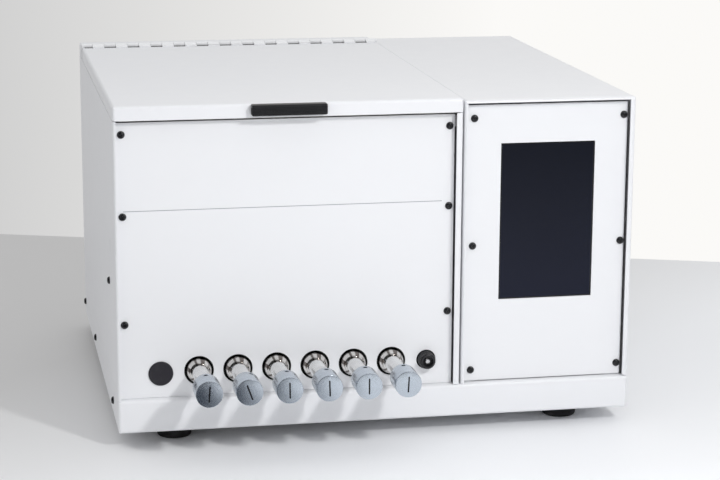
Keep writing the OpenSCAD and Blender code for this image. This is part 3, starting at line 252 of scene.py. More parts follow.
coatLook = {"colour": (0.868, 0.875, 0.898), "drift": 0.985, "driftScale": 7.0,
            "peelScale": 900.0, "peelDepth": 0.00004, "grainScale": 3870.0, "grainShare": 0.35,
            "glossScale": 55.0, "glossWander": 0.05, "rough": 0.42, "specular": 0.45}
panelLook = dict(coatLook, colour=(0.872, 0.878, 0.898), peelDepth=0.000022, rough=0.38,
                 driftScale=5.0)
# the hinge's coat is a paler copy of the case's white: painted light, so the hinge reads brighter than
# the case
litHingeLook = dict(coatLook, colour=(0.93, 0.935, 0.95), rough=0.40)
insideLook = dict(coatLook, colour=(0.80, 0.81, 0.83))
panelLine = {"z": 211.9, "from": 8.8, "to": 310.6, "width": 0.62, "colour": (0.30, 0.31, 0.34)}
paintWhite = powderCoat("whitePowderCoat", coatLook)[0]
litHingeWhite = powderCoat("litWhiteHingePaint", litHingeLook)[0]
displayWhite = powderCoat("whiteDisplayPanel", panelLook)[0]


# the oven panel's coat with the one printed line that crosses it
def printedPanel(name, coat, line):
    mat, tree, shader, colour = powderCoat(name, coat)
    place = apart(tree, objectPoint(tree))
    middle = line["z"] * metre + caseZero.z
    ends = [line[k] * metre + caseZero.x for k in ("from", "to")]
    offset = combine(tree, "ABSOLUTE", combine(tree, "SUBTRACT", place["Z"], middle), 0.0)
    width = line["width"] * metre
    inBand = spread(tree, offset, 1.0, 0.0, width * 0.4, width * 0.6)
    afterStart = combine(tree, "GREATER_THAN", place["X"], ends[0])
    beforeEnd = combine(tree, "LESS_THAN", place["X"], ends[1])
    mask = combine(tree, "MULTIPLY", inBand, combine(tree, "MULTIPLY", afterStart, beforeEnd))
    tree.links.new(blendColours(tree, mask, colour, line["colour"]), shader.inputs["Base Color"])
    return mat


ovenPanelWhite = printedPanel("whiteOvenPanel", panelLook, panelLine)


# the frames' coat, with a thin black line painted beside each panel's right edge: painted shade of the
# gap between panel and lip
def framePaint(name, coat, gapShade):
    mat, tree, shader, colour = powderCoat(name, coat)
    across = apart(tree, objectPoint(tree))["X"]
    half = gapShade["half"] * metre
    for place in gapShade["at"]:
        offset = combine(tree, "SUBTRACT", across, place * metre + caseZero.x)
        offset = combine(tree, "ABSOLUTE", offset, 0.0)
        line = spread(tree, offset, 1.0, 0.0, half * 0.8, half)
        colour = blendColours(tree, line, colour, gapShade["colour"])
    tree.links.new(colour, shader.inputs["Base Color"])
    return mat


# where the painted shade lines stand, their half width and their colour
frameGapShade = {"at": (322.5, 492.5), "half": 0.9, "colour": (0.015, 0.015, 0.018)}
frameWhite = framePaint("whiteFramePaint", insideLook, frameGapShade)

zincSheet = drawnMetal("zincSheet", {"stretch": (3, 3, 1), "grainScale": 140.0, "patchScale": 28.0,
    "dark": (0.42, 0.43, 0.45), "light": (0.66, 0.67, 0.68), "rough": 0.40, "depth": 0.00001})
ovenSteel = drawnMetal("brushedOvenSteel", {"stretch": (1, 1, 40), "grainScale": 60.0,
    "patchScale": 9.0, "dark": (0.44, 0.42, 0.39), "light": (0.70, 0.69, 0.66),
    "rough": 0.30, "depth": 0.00002})
deckSteel = drawnMetal("brushedDeckSteel", {"stretch": (1, 40, 40), "grainScale": 60.0,
    "patchScale": 12.0, "dark": (0.52, 0.52, 0.52), "light": (0.76, 0.76, 0.75),
    "rough": 0.32, "depth": 0.00001})
tubeSteel = drawnMetal("drawnTubeSteel", {"stretch": (2, 2, 2), "grainScale": 120.0, "patchScale": 30.0,
    "dark": (0.40, 0.35, 0.28), "light": (0.66, 0.62, 0.55), "rough": 0.28, "depth": 0.00001})
barSteel = drawnMetal("groundBarSteel", {"stretch": (1, 1, 1), "grainScale": 300.0, "patchScale": 60.0,
    "dark": (0.50, 0.50, 0.51), "light": (0.74, 0.74, 0.74), "rough": 0.26, "depth": 0.00001})
blockAluminium = drawnMetal("milledAluminium", {"stretch": (30, 1, 1), "grainScale": 50.0,
    "patchScale": 20.0, "dark": (0.62, 0.63, 0.65), "light": (0.80, 0.81, 0.82),
    "rough": 0.36, "depth": 0.00001})
nutBrass = drawnMetal("turnedBrass", {"stretch": (1, 1, 12), "grainScale": 200.0, "patchScale": 60.0,
    "dark": (0.55, 0.38, 0.15), "light": (0.80, 0.62, 0.30), "rough": 0.28, "depth": 0.00001})
heaterSheath = drawnMetal("heatTintedSheath", {"stretch": (1, 1, 1), "grainScale": 90.0,
    "patchScale": 35.0, "dark": (0.14, 0.11, 0.10), "light": (0.38, 0.31, 0.25),
    "rough": 0.45, "depth": 0.00001})
knobMetal = turnedMetal("anodisedKnob", {"ringScale": 2.6, "dark": (0.50, 0.55, 0.61),
    "light": (0.55, 0.60, 0.66), "rough": 0.27, "wander": 0.01, "depth": 0.0000003})
# the bonnets' dark radial streaks are painted reflection
bonnetMetal = turnedMetal("polishedBonnet", {"ringScale": 2.2, "dark": (0.60, 0.58, 0.56),
    "light": (0.88, 0.86, 0.84), "rough": 0.12, "wander": 0.05, "reflectionStreak": (0.17, 0.15, 0.14),
    "reflectionStreakScale": 2.1, "reflectionStreakRange": (0.40, 0.52), "depth": 0.000004})
neckMetal = turnedMetal("satinNeck", {"ringScale": 5.0, "dark": (0.72, 0.72, 0.72),
    "light": (0.88, 0.88, 0.88), "rough": 0.24, "wander": 0.05, "depth": 0.00001})
# on the knobs this black also fills the slot, as painted shade
blackOxideAndSlotShade = mouldedSurface("blackOxideScrewAndSlotShade", {"sparkScale": 1400.0, "dustScale": 300.0, "dust": 0.15,
    "colour": (0.006, 0.006, 0.008), "worn": (0.06, 0.06, 0.07),
    "rough": 0.26, "specular": 0.55, "depth": 0.00001})
pullBlack = mouldedSurface("blackPull", {"sparkScale": 1800.0, "dustScale": 120.0, "dust": 0.2,
    "colour": (0.007, 0.007, 0.009), "worn": (0.03, 0.03, 0.034),
    "rough": 0.34, "specular": 0.5, "depth": 0.00002})
plugBlack = mouldedSurface("blackPlug", {"sparkScale": 1500.0, "dustScale": 150.0, "dust": 0.35,
    "colour": (0.022, 0.020, 0.027), "worn": (0.05, 0.05, 0.055),
    "rough": 0.55, "specular": 0.4, "depth": 0.00003})
switchBlack = mouldedSurface("blackSwitch", {"sparkScale": 2200.0, "dustScale": 200.0, "dust": 0.2,
    "colour": (0.014, 0.014, 0.016), "worn": (0.05, 0.05, 0.05),
    "rough": 0.35, "specular": 0.5, "depth": 0.00002})
footRubber = mouldedSurface("footRubber", {"sparkScale": 900.0, "dustScale": 70.0, "dust": 0.5,
    "colour": (0.012, 0.012, 0.013), "worn": (0.06, 0.058, 0.055),
    "rough": 0.75, "specular": 0.3, "depth": 0.00006})
# this black is also used for the strips in the hinge notches, where it is painted shade
blackBodyAndNotchShade = mouldedSurface("blackAnodisedBodyAndNotchShade", {"sparkScale": 1100.0, "dustScale": 90.0, "dust": 0.3,
    "colour": (0.010, 0.010, 0.011), "worn": (0.03, 0.03, 0.032),
    "rough": 0.5, "specular": 0.3, "depth": 0.00001})
motorBlack = mouldedSurface("motorPaint", {"sparkScale": 500.0, "dustScale": 50.0, "dust": 0.6,
    "colour": (0.03, 0.032, 0.036), "worn": (0.12, 0.12, 0.12),
    "rough": 0.5, "specular": 0.4, "depth": 0.00004})
ovenWool = fibreWool("ceramicFibre", {"strandScale": 260.0, "lumpScale": 45.0,
    "dark": (0.62, 0.58, 0.48), "light": (0.90, 0.88, 0.82), "depth": 0.0004})
sealWool = fibreWool("sealRope", {"strandScale": 700.0, "lumpScale": 200.0, "dark": (0.55, 0.52, 0.46),
    "light": (0.86, 0.84, 0.79), "depth": 0.0002})


# circuit board: solder mask with traces, dark parts standing on it and bright cans
def boardFinish(name, board):
    mat, tree, shader = newFinish(name)
    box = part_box("control_board")
    point = objectPoint(tree)
    outwards = apart(tree, point)["Y"]
    brick = addNode(tree, "ShaderNodeTexBrick")
    brick.inputs["Scale"].default_value = board["traceScale"]
    brick.inputs["Mortar Size"].default_value = 0.012
    brick.inputs["Color1"].default_value = (*board["mask"], 1)
    brick.inputs["Color2"].default_value = (*board["mask2"], 1)
    brick.inputs["Mortar"].default_value = (*board["trace"], 1)
    turned = objectPoint(tree, (1, 1, 1), (0, 0, 0), (math.pi / 2, 0, 0))
    tree.links.new(turned, brick.inputs["Vector"])
    partStart = combine(tree, "GREATER_THAN", outwards, box[0].y + board["thick"] * metre)
    canStart = combine(tree, "GREATER_THAN", outwards, box[0].y + board["partHigh"] * metre)
    parts = blendColours(tree, noiseValue(tree, point, 400.0), board["part"], board["part2"])
    colour = blendColours(tree, partStart, brick.outputs["Color"], parts)
    colour = blendColours(tree, canStart, colour, board["can"])
    tree.links.new(colour, shader.inputs["Base Color"])
    shader.inputs["Roughness"].default_value = 0.35
    bumpFrom(tree, shader, brick.outputs["Fac"], 0.00003)
    return mat


boardGreen = boardFinish("circuitBoard", {"traceScale": 90.0, "thick": 9.4, "partHigh": 19.0,
    "mask": (0.012, 0.13, 0.045), "mask2": (0.014, 0.15, 0.05), "trace": (0.05, 0.28, 0.10),
    "part": (0.02, 0.02, 0.022), "part2": (0.045, 0.045, 0.05), "can": (0.45, 0.46, 0.48)})


# touch glass: black border, and a field behind it that is a little lighter and bluer
def glassFinish(name, glass):
    mat, tree, shader = newFinish(name)
    point = objectPoint(tree)
    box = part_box("touch_display")
    fall = spread(tree, apart(tree, point)["Z"], 1.0, 0.0, box[0].z, box[1].z)
    cells = noiseValue(tree, point, 3.0, 2.0)
    tone = combine(tree, "MULTIPLY", fall, spread(tree, cells, 0.7, 1.2, *noiseRange))
    tree.links.new(blendColours(tree, tone, glass["top"], glass["low"]), shader.inputs["Base Color"])
    smear = noiseValue(tree, point, 14.0, 4.0, 0.6)
    rough = spread(tree, smear, glass["rough"] - 0.04, glass["rough"] + 0.05, 0.35, 0.7)
    tree.links.new(rough, shader.inputs["Roughness"])
    shader.inputs["Specular IOR Level"].default_value = glass["specular"]
    bumpFrom(tree, shader, noiseValue(tree, point, 25.0, 1.0), 0.00001, 0.3)
    return mat


screenGlass = glassFinish("touchGlass", {"top": (0.0040, 0.0052, 0.011), "low": (0.0085, 0.0105, 0.023),
    "rough": 0.12, "specular": 0.14})
borderGlass = mouldedSurface("glassBorder", {"sparkScale": 40.0, "dustScale": 30.0, "dust": 0.1,
    "colour": (0.004, 0.004, 0.005), "worn": (0.01, 0.01, 0.012),
    "rough": 0.14, "specular": 0.4, "depth": 0.000001})

nodeFinishes = {
    "base_pan": paintWhite, "cabinet_left_side": paintWhite, "cabinet_right_side": paintWhite,
    "oven_rear_panel": paintWhite, "rear_top_cover": paintWhite, "oven_front_panel": ovenPanelWhite,
    "lid_shell": paintWhite, "housing_shell": paintWhite, "display_panel": displayWhite,
    "electronics_rear_panel": paintWhite, "hinge_pin": barSteel, "panel_frames": frameWhite,
    "hole_plug": plugBlack, "rubber_feet": footRubber, "foot_screws": barSteel,
    "handle_screws": barSteel, "oven_chassis": deckSteel, "oven_liner": ovenSteel,
    "oven_insulation": ovenWool, "lid_insulation": ovenWool, "lid_liner": ovenSteel,
    "lid_seal": sealWool, "oven_heater": heaterSheath, "fan_baffle": ovenSteel,
    "fan_motor": motorBlack, "fan_impeller": deckSteel, "fan_shaft": barSteel,
    "column_nuts": nutBrass, "column_bracket": zincSheet, "sampling_valve": barSteel,
    "valve_actuator": motorBlack, "valve_rotor": barSteel, "detector_block": blockAluminium,
    "detector_jacket": ovenWool, "controller_bodies": blackBodyAndNotchShade, "purge_valve_body": blackBodyAndNotchShade,
    "gas_manifold": blockAluminium, "gas_lines": tubeSteel, "bulkhead_fittings": barSteel,
    "display_module": zincSheet, "control_board": boardGreen, "power_supply": zincSheet,
    "power_inlet": switchBlack, "switch_body": switchBlack, "switch_rocker": switchBlack,
}
for nodeName, finish in nodeFinishes.items():
    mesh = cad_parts[nodeName].data
    mesh.materials.clear()
    mesh.materials.append(finish)
print("stage: finishes on", len(nodeFinishes), "nodes")


# modelling helpers, all in mm from the case's corner; points closer than this are merged
mergeGap = 0.0005


def finishPiece(name, bm, finishes, body, nodes=(), sharp=35.0, axes=None):
    bmesh.ops.remove_doubles(bm, verts=bm.verts, dist=mergeGap)
    bmesh.ops.recalc_face_normals(bm, faces=bm.faces)
    if axes:
        mapSection(bm, axes)
    bmesh.ops.scale(bm, vec=(metre, metre, metre), verts=bm.verts)
    bmesh.ops.translate(bm, vec=caseZero, verts=bm.verts)
    mesh = bpy.data.meshes.new(name)
    bm.to_mesh(mesh)
    bm.free()
    for finish in finishes:
        mesh.materials.append(finish)
    for polygon in mesh.polygons:
        polygon.use_smooth = True
    mesh.set_sharp_from_angle(angle=math.radians(sharp))
    piece = bpy.data.objects.new(name, mesh)
    scene.collection.objects.link(piece)
    if nodes:
        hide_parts(*nodes)
    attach(piece, body)
    return piece


# a map of x and z from the nearest turning axis, for the turned finishes
def mapSection(bm, axes):
    layer = bm.loops.layers.uv.new("section")
    for face in bm.faces:
        middle = face.calc_center_median()
        axis = min(axes, key=lambda a: (a[0] - middle.x) ** 2 + (a[1] - middle.z) ** 2)
        for loop in face.loops:
            loop[layer].uv = (loop.vert.co.x - axis[0], loop.vert.co.z - axis[1])


def shift(bm, by):
    bmesh.ops.translate(bm, vec=by, verts=bm.verts)


def turnBy(bm, angle, axis):
    matrix = Matrix.Rotation(angle, 3, axis)
    bmesh.ops.rotate(bm, cent=(0, 0, 0), matrix=matrix, verts=bm.verts)


# pushes faces out by a step and gives back the first new face and the new corners
def pushOut(bm, faces, step):
    grown = bmesh.ops.extrude_face_region(bm, geom=faces)["geom"]
    corners = [g for g in grown if isinstance(g, bmesh.types.BMVert)]
    bmesh.ops.translate(bm, vec=step, verts=corners)
    return next(g for g in grown if isinstance(g, bmesh.types.BMFace)), corners


# spins a line of points once round an axis
def spinRound(bm, points, centre, axis, steps, closed=False):
    verts = [bm.verts.new(point) for point in points]
    edges = [bm.edges.new(pair) for pair in zip(verts, verts[1:])]
    if closed:
        edges.append(bm.edges.new((verts[-1], verts[0])))
    bmesh.ops.spin(bm, geom=verts + edges, cent=centre, axis=axis, angle=math.tau, steps=steps,
                   use_merge=True)
    bmesh.ops.remove_doubles(bm, verts=bm.verts, dist=mergeGap)
    bmesh.ops.recalc_face_normals(bm, faces=bm.faces)


# turns (radius, y) points about the line along Y through x, z
def turnAbout(bm, points, x, z, steps=64):
    spinRound(bm, [(x + r, y, z) for r, y in points], (x, 0, z), (0, 1, 0), steps)


def softenEdges(bm, width, segments=3, least=30.0, test=None):
    least = math.radians(least)
    edges = [e for e in bm.edges if len(e.link_faces) == 2 and e.calc_face_angle(0) > least
             and (test is None or test(e))]
    bmesh.ops.bevel(bm, geom=edges, offset=width, segments=segments, affect="EDGES", profile=0.5,
                    material=-1, clamp_overlap=True)


def addBlock(bm, low, high):
    made = bmesh.ops.create_cube(bm, size=1.0)
    size = Vector(high) - Vector(low)
    bmesh.ops.scale(bm, vec=size, verts=made["verts"])
    bmesh.ops.translate(bm, vec=(Vector(low) + Vector(high)) / 2, verts=made["verts"])
    return made["verts"]


def rodShape(radius, length, sides=32):
    bm = bmesh.new()
    bmesh.ops.create_cone(bm, cap_ends=True, segments=sides, radius1=radius, radius2=radius,
                          depth=length)
    return bm


# joins other into bm, its faces with the given material where there is one
def addInto(bm, other, material=None):
    if material is not None:
        for f in other.faces:
            f.material_index = material
    mesh = bpy.data.meshes.new("joining")
    other.to_mesh(mesh)
    other.free()
    bm.from_mesh(mesh)
    bpy.data.meshes.remove(mesh)


# cuts the shapes in cutters away from bm and gives back the result
def carve(bm, cutters):
    objects = []
    for part in [bm, *cutters]:
        mesh = bpy.data.meshes.new("carving")
        part.to_mesh(mesh)
        part.free()
        thing = bpy.data.objects.new("carving", mesh)
        scene.collection.objects.link(thing)
        objects.append(thing)
    target = objects[0]
    for tool in objects[1:]:
        cut = target.modifiers.new("cut", "BOOLEAN")
        cut.operation = "DIFFERENCE"
        cut.solver = "EXACT"
        cut.object = tool
    graph = bpy.context.evaluated_depsgraph_get()
    result = bmesh.new()
    result.from_object(target, graph)
    for thing in objects:
        mesh = thing.data
        bpy.data.objects.remove(thing)
        bpy.data.meshes.remove(mesh)
    return result


# a slot with round ends, standing along Z, as a cutter of the given depth range in y
def slotCutter(x, z, width, length, near, far, tilt=0.0):
    bm = bmesh.new()
    ring = bmesh.ops.create_circle(bm, segments=24, radius=width / 2, cap_ends=True)["verts"]
    half = (length - width) / 2
    upper = [v for v in ring if v.co.y > 0.001]
    lower = [v for v in ring if v.co.y < -0.001]
    bmesh.ops.translate(bm, vec=(0, half, 0), verts=upper)
    bmesh.ops.translate(bm, vec=(0, -half, 0), verts=lower)
    pushOut(bm, bm.faces[:], (0, 0, far - near))
    bmesh.ops.recalc_face_normals(bm, faces=bm.faces)
    turnBy(bm, tilt, "Z")
    turnBy(bm, math.pi / 2, "X")
    shift(bm, (x, far, z))
    return bm


# the six knobs: where they stand, then their shape
controls = {"x": 77.4, "pitch": 37.05, "z": 56.4, "count": 6}
controlXs = [controls["x"] + i * controls["pitch"] for i in range(controls["count"])]
knob = {"face": -72.0, "length": 26.4, "radius": 12.5, "stem": 3.0, "stemEnd": 32.6,
        "cup": (8.1, 3.0), "slot": (1.5, 15.4, 1.5), "tilts": (-4, 20, 1, 2, 0, -3),
        "faceRound": 0.45, "rearRound": 1.1, "grubFromRear": 5.8,
        # radius, length and height of the grub screw's hole, body and socket
        "grubHole": (2.0, 12, 10.6), "grubBody": (1.9, 4.5, 6.0), "grubSocket": (1.1, 5, 3.0)}


def makeKnob(index):
    x, z = controlXs[index], controls["z"]
    face, rear = knob["face"], knob["face"] + knob["length"]
    r, cup, stem = knob["radius"], knob["cup"], knob["stem"]
    floor, end = rear - cup[1], knob["stemEnd"]
    bm = bmesh.new()
    turnAbout(bm, [(0, face), (r, face), (r, rear), (cup[0], rear), (cup[0], floor), (stem, floor),
                   (stem, end), (0, end)], x, z)

    def isOn(e, y, least):
        corners = [v.co for v in e.verts]
        return all(abs(c.y - y) < 0.01 and math.hypot(c.x - x, c.z - z) > least for c in corners)

    softenEdges(bm, knob["faceRound"], 3, 60, lambda e: isOn(e, face, -1))
    softenEdges(bm, knob["rearRound"], 4, 60, lambda e: isOn(e, rear, r - 1.5))
    width, length, depth = knob["slot"]
    tilt = math.radians(knob["tilts"][index])
    grubY = rear - knob["grubFromRear"]

    def placeGrub(part):
        turnBy(part, tilt, "Y")
        shift(part, (x, 0, z))

    radius, long, high = knob["grubHole"]
    hole = rodShape(radius, long)
    shift(hole, (0, grubY, high))
    placeGrub(hole)
    bm = carve(bm, [slotCutter(x, z, width, length, face - 1, face + depth, tilt), hole])
    # the faces inside the slot take the black screw finish: painted shade in the slot
    for f in bm.faces:
        middle = f.calc_center_median()
        near = math.hypot(middle.x - x, middle.z - z)
        inSlot = near < length / 2 and face + 0.1 < middle.y < face + depth + 0.1
        f.material_index = 1 if inSlot else 0
    radius, long, high = knob["grubSocket"]
    socket = rodShape(radius, long, 6)
    shift(socket, (0, 0, high))
    radius, long, high = knob["grubBody"]
    body = carve(rodShape(radius, long), [socket])
    shift(body, (0, grubY, high))
    placeGrub(body)
    addInto(bm, body, 1)
    node = f"control_knob_{index + 1}"
    finishes = [knobMetal, blackOxideAndSlotShade]
    finishPiece(f"turnedKnob{index + 1}", bm, finishes, node, [node], 30, [(x, z)])


for i in range(controls["count"]):
    makeKnob(i)
print("stage: knobs")


# polished bonnets behind the knobs, with satin necks
bonnet = {"back": 12.6, "ring": 12.6, "dome": 12.3, "domeStart": 11.6, "domeHigh": 12.6, "neck": 7.5,
          "end": -48.0, "bore": 3.05, "steps": 14}


def makeBonnets():
    bm = bmesh.new()
    b, z = bonnet, controls["z"]
    arc = []
    for k in range(b["steps"] + 1):
        a = k / b["steps"] * math.pi / 2
        out = b["neck"] + (b["dome"] - b["neck"]) * math.cos(a)
        arc.append((out, b["domeStart"] - b["domeHigh"] * math.sin(a)))
    points = [(b["bore"], b["back"]), (b["ring"] - 1, b["back"]), (b["ring"], b["back"] - 0.5), *arc,
              (b["neck"], b["end"] + 0.8), (b["neck"] - 0.8, b["end"]), (b["bore"], b["end"]),
              (b["bore"], b["back"])]
    neckStart = b["domeStart"] - b["domeHigh"] - 0.5
    for x in controlXs:
        one = bmesh.new()
        turnAbout(one, points, x, z, 72)
        softenEdges(one, 0.18, 2, 50)
        for f in one.faces:
            centre = f.calc_center_median()
            far = math.hypot(centre.x - x, centre.z - z)
            f.material_index = 1 if centre.y < neckStart and far > 5 else 0
        addInto(bm, one)
    finishPiece("polishedBonnets", bm, [bonnetMetal, neckMetal], "case",
                ["controller_bonnets"], 40, [(x, z) for x in controlXs])


makeBonnets()
print("stage: bonnets")


# the small ribbed knob at the right
purge = {"x": controlXs[-1] + 34.4, "face": -1.6, "inner": 9.0, "radius": 8.3, "ribs": 24,
         "groove": (0.64, -1.2, 3.6, 1.15), "stem": 2.2, "stemIn": 22.6, "slot": (0.8, 7, -2, 0.9),
         "slotTilt": 25}


def makePurgeKnob():
    x, z, p = purge["x"], controls["z"], purge
    bm = bmesh.new()
    r, inner, stem = p["radius"], p["inner"], p["stem"]
    turnAbout(bm, [(stem, 5.4), (5.4, 5.4), (5.4, inner), (r - 0.7, inner), (r, 8.2), (r, 5.0),
                   (r - 0.7, 4.0), (r - 0.7, -0.6), (r - 1.6, p["face"]), (r - 3.2, p["face"]),
                   (r - 3.9, 2.2), (stem, 2.4), (stem, 5.4)], x, z, 96)
    softenEdges(bm, 0.22, 2, 40)
    width, start, end, deep = p["groove"]
    grooves = bmesh.new()
    for k in range(p["ribs"]):
        groove = bmesh.new()
        addBlock(groove, (-width / 2, start, r - deep), (width / 2, end, r + 1))
        turnBy(groove, k * math.tau / p["ribs"], "Y")
        shift(groove, (x, 0, z))
        addInto(grooves, groove)
    bm = carve(bm, [grooves])
    pin = bmesh.new()
    turnAbout(pin, [(0, -0.4), (stem - 0.3, -0.4), (stem, -0.1), (stem, p["stemIn"]),
                    (0, p["stemIn"])], x, z, 32)
    pin = carve(pin, [slotCutter(x, z, *p["slot"], math.radians(p["slotTilt"]))])
    addInto(bm, pin, 1)
    finishPiece("purgeKnobCup", bm, [pullBlack, barSteel], "purge_knob",
                ["purge_knob"], 35)


makePurgeKnob()
print("stage: purge knob")


# inner edges of the right-hand lips, beside the front panels
lipEdges = [{"low": (322.5, 0.05, 32.2), "high": (325.9, 1.45, 297.0)},
            {"low": (492.7, 0.05, 32.9), "high": (495.4, 1.45, 305.9)}]


def makeLipEdges():
    bm = bmesh.new()
    for edge in lipEdges:
        addBlock(bm, edge["low"], edge["high"])
    softenEdges(bm, 0.25, 2, 60)
    finishPiece("rightLipEdges", bm, [paintWhite], "case")


makeLipEdges()
print("stage: lip edges")


# cross-head screws; the dome's points are shares of its radius and height
screw = {"radius": 3.6, "height": 2.4, "shank": (1.7, -4.5), "recess": (4.3, 0.95, 1.35), "seed": 7,
         "taper": (0.45, 0.8, 1),
         "dome": ((0.0, 1.0), (0.45, 0.985), (0.68, 0.9), (0.84, 0.74), (0.95, 0.5), (1.0, 0.22),
                  (1.0, 0.0)),
         # where the screws stand on each face, and the plane of that face
         "frontRows": [{"xs": (8.1, 317.4), "zs": (103.8, 207.0, 284.0)},
                       {"xs": (341.3, 488.5), "zs": (43.5, 166.7, 290.2)}],
         "sides": [(56.7, 16.5), (287.8, 16.5), (445.0, 16.5), (74.7, 131.2)],
         "rearRows": {"xs": (7, 321.6, 339.3, 489), "zs": (60, 170, 280)},
         "faceAt": {"front": 8.0, "left": 0, "right": 498, "rear": 457}}


def screwMesh():
    bm = bmesh.new()
    r, h = screw["radius"], screw["height"]
    shank, tip = screw["shank"]
    dome = [(r * a, h * b) for a, b in screw["dome"]]
    points = [(a, 0, b) for a, b in [*dome, (shank, 0), (shank, tip), (0, tip)]]
    spinRound(bm, points, (0, 0, 0), (0, 0, 1), 40)
    length, width, depth = screw["recess"]
    cutters = []
    for angle in (0, math.pi / 2):
        arm = bmesh.new()
        verts = addBlock(arm, (-length / 2, -width / 2, h - depth), (length / 2, width / 2, h + 1))
        low = [v for v in verts if v.co.z < h]
        bmesh.ops.scale(arm, vec=screw["taper"], verts=low)
        turnBy(arm, angle, "Z")
        cutters.append(arm)
    bm = carve(bm, cutters)
    mesh = bpy.data.meshes.new("screwHead")
    bm.to_mesh(mesh)
    bm.free()
    return mesh


def screwPlaces():
    places, at, rear = [], screw["faceAt"], screw["rearRows"]
    for row in screw["frontRows"]:
        places += [((x, at["front"], z), "front") for x in row["xs"] for z in row["zs"]]
    for y, z in screw["sides"]:
        places += [((at[side], y, z), side) for side in ("left", "right")]
    places += [((x, at["rear"], z), "rear") for z in rear["zs"] for x in rear["xs"]]
    return places


def makeScrews():
    rng = random.Random(screw["seed"])
    head = screwMesh()
    quarter = math.pi / 2
    turns = {"front": Matrix.Rotation(quarter, 4, "X"), "rear": Matrix.Rotation(-quarter, 4, "X"),
             "left": Matrix.Rotation(-quarter, 4, "Y"), "right": Matrix.Rotation(quarter, 4, "Y")}
    bm = bmesh.new()
    for spot, way in screwPlaces():
        start = len(bm.verts)
        bm.from_mesh(head)
        bm.verts.ensure_lookup_table()
        roll = Matrix.Rotation(rng.uniform(0, quarter), 4, "Z")
        place = Matrix.Translation(Vector(spot)) @ turns[way] @ roll
        bmesh.ops.transform(bm, matrix=place, verts=bm.verts[start:])
    bpy.data.meshes.remove(head)
    finishPiece("crossHeadScrews", bm, [blackOxideAndSlotShade], "case", ["case_screws"], 40)


makeScrews()
print("stage: screws")


# the long hinge, rolled from two leaves
# the black strips laid in the notches are painted shade, not a real dark floor
hinge = {"y": 414.0, "z": 311.7, "radius": 3.2, "bore": 1.65, "length": 12.7, "gap": 0.3,
         "width": 328.6, "top": 311.22, "thick": 1.2, "strip": 10.6, "floor": 8.8,
         "notchShadeEnd": 3.35, "notch": 6.4, "edge": 2.8, "least": 2, "rampTurn": 38, "rampSteps": 6}


# one leaf: rolled knuckles with their plate, and thin black strips in the notches between them, painted
# shade of the notches
def makeHingeLeaf(name, start, side, body, node):
    h = hinge
    y, top = h["y"], h["top"]
    bm = bmesh.new()
    count = int(h["width"] // h["length"]) + 1
    for i in range(count):
        high = h["width"] - i * h["length"]
        low = max(0.0, high - h["length"] + h["gap"])
        if high - low < h["least"]:
            continue
        x0, x1 = max(low, h["edge"]), min(high, h["width"] - h["edge"])
        one = bmesh.new()
        if i % 2 == start:
            rollKnuckle(one, low, high)
            rampSection(one, x0, x1, side)
            addBlock(one, (x0, y + side * h["strip"], top),
                     (x1, y + side * h["notch"], top + h["thick"]))
            addInto(bm, one, 0)
        # a thin black strip on the lid in front of the other leaf's knuckle: painted shade of a deeper
        # notch
        else:
            addBlock(one, (x0 - 0.15, y + side * h["floor"], top - 0.01),
                     (x1 + 0.15, y + side * h["notchShadeEnd"], top + 0.05))
            addInto(bm, one, 1)
    finishPiece(name, bm, [litHingeWhite, blackBodyAndNotchShade], body, [node], 40)


def rollKnuckle(bm, low, high):
    h = hinge
    profile = [(h["bore"], low), (h["radius"], low), (h["radius"], high), (h["bore"], high)]
    points = [(x, h["y"], h["z"] + r) for r, x in profile]
    spinRound(bm, points, (0, h["y"], h["z"]), (1, 0, 0), 32, True)

    def isOuter(e):
        return all(math.hypot(v.co.y - h["y"], v.co.z - h["z"]) > h["radius"] - 0.2 for v in e.verts)

    softenEdges(bm, 0.25, 2, 60, isOuter)


# the bend that leads from the plate up into a knuckle
def rampSection(bm, low, high, side):
    h = hinge
    start = Vector((side * h["notch"], h["top"] + h["thick"]))
    rise = math.radians(h["rampTurn"])
    end = Vector((side * h["radius"] * math.cos(rise), h["z"] + h["radius"] * math.sin(rise)))
    bend = Vector((side * (h["radius"] + 0.9), start.y + 0.05))
    outline = [(side * h["notch"], h["top"])]
    for k in range(h["rampSteps"] + 1):
        t = k / h["rampSteps"]
        point = start * (1 - t) ** 2 + bend * 2 * t * (1 - t) + end * t ** 2
        outline.append((point.x, point.y))
    outline += [(side * 2.2, h["z"] + 0.5), (side * 2.4, h["top"])]
    face = bm.faces.new([bm.verts.new((low, h["y"] + a, b)) for a, b in outline])
    pushOut(bm, [face], (high - low, 0, 0))


makeHingeLeaf("hingeLidLeaf", 0, -1, "lid", "hinge_lid_leaf")
makeHingeLeaf("hingeFixedLeaf", 1, 1, "case", "hinge_fixed_leaf")
print("stage: hinge")


# the ribbed pull; its ends are (distance in, scale) steps
pull = {"x": 127.0, "width": 70.6, "back": -1.0, "front": -9.8, "low": 300.6, "high": 311.0,
        "wall": 2.2, "ribs": 6, "ribDepth": 0.42, "webs": (1.0, 67.4),
        "ends": ((0.0, 0.80), (0.3, 0.90), (0.9, 0.97), (1.9, 1.0))}


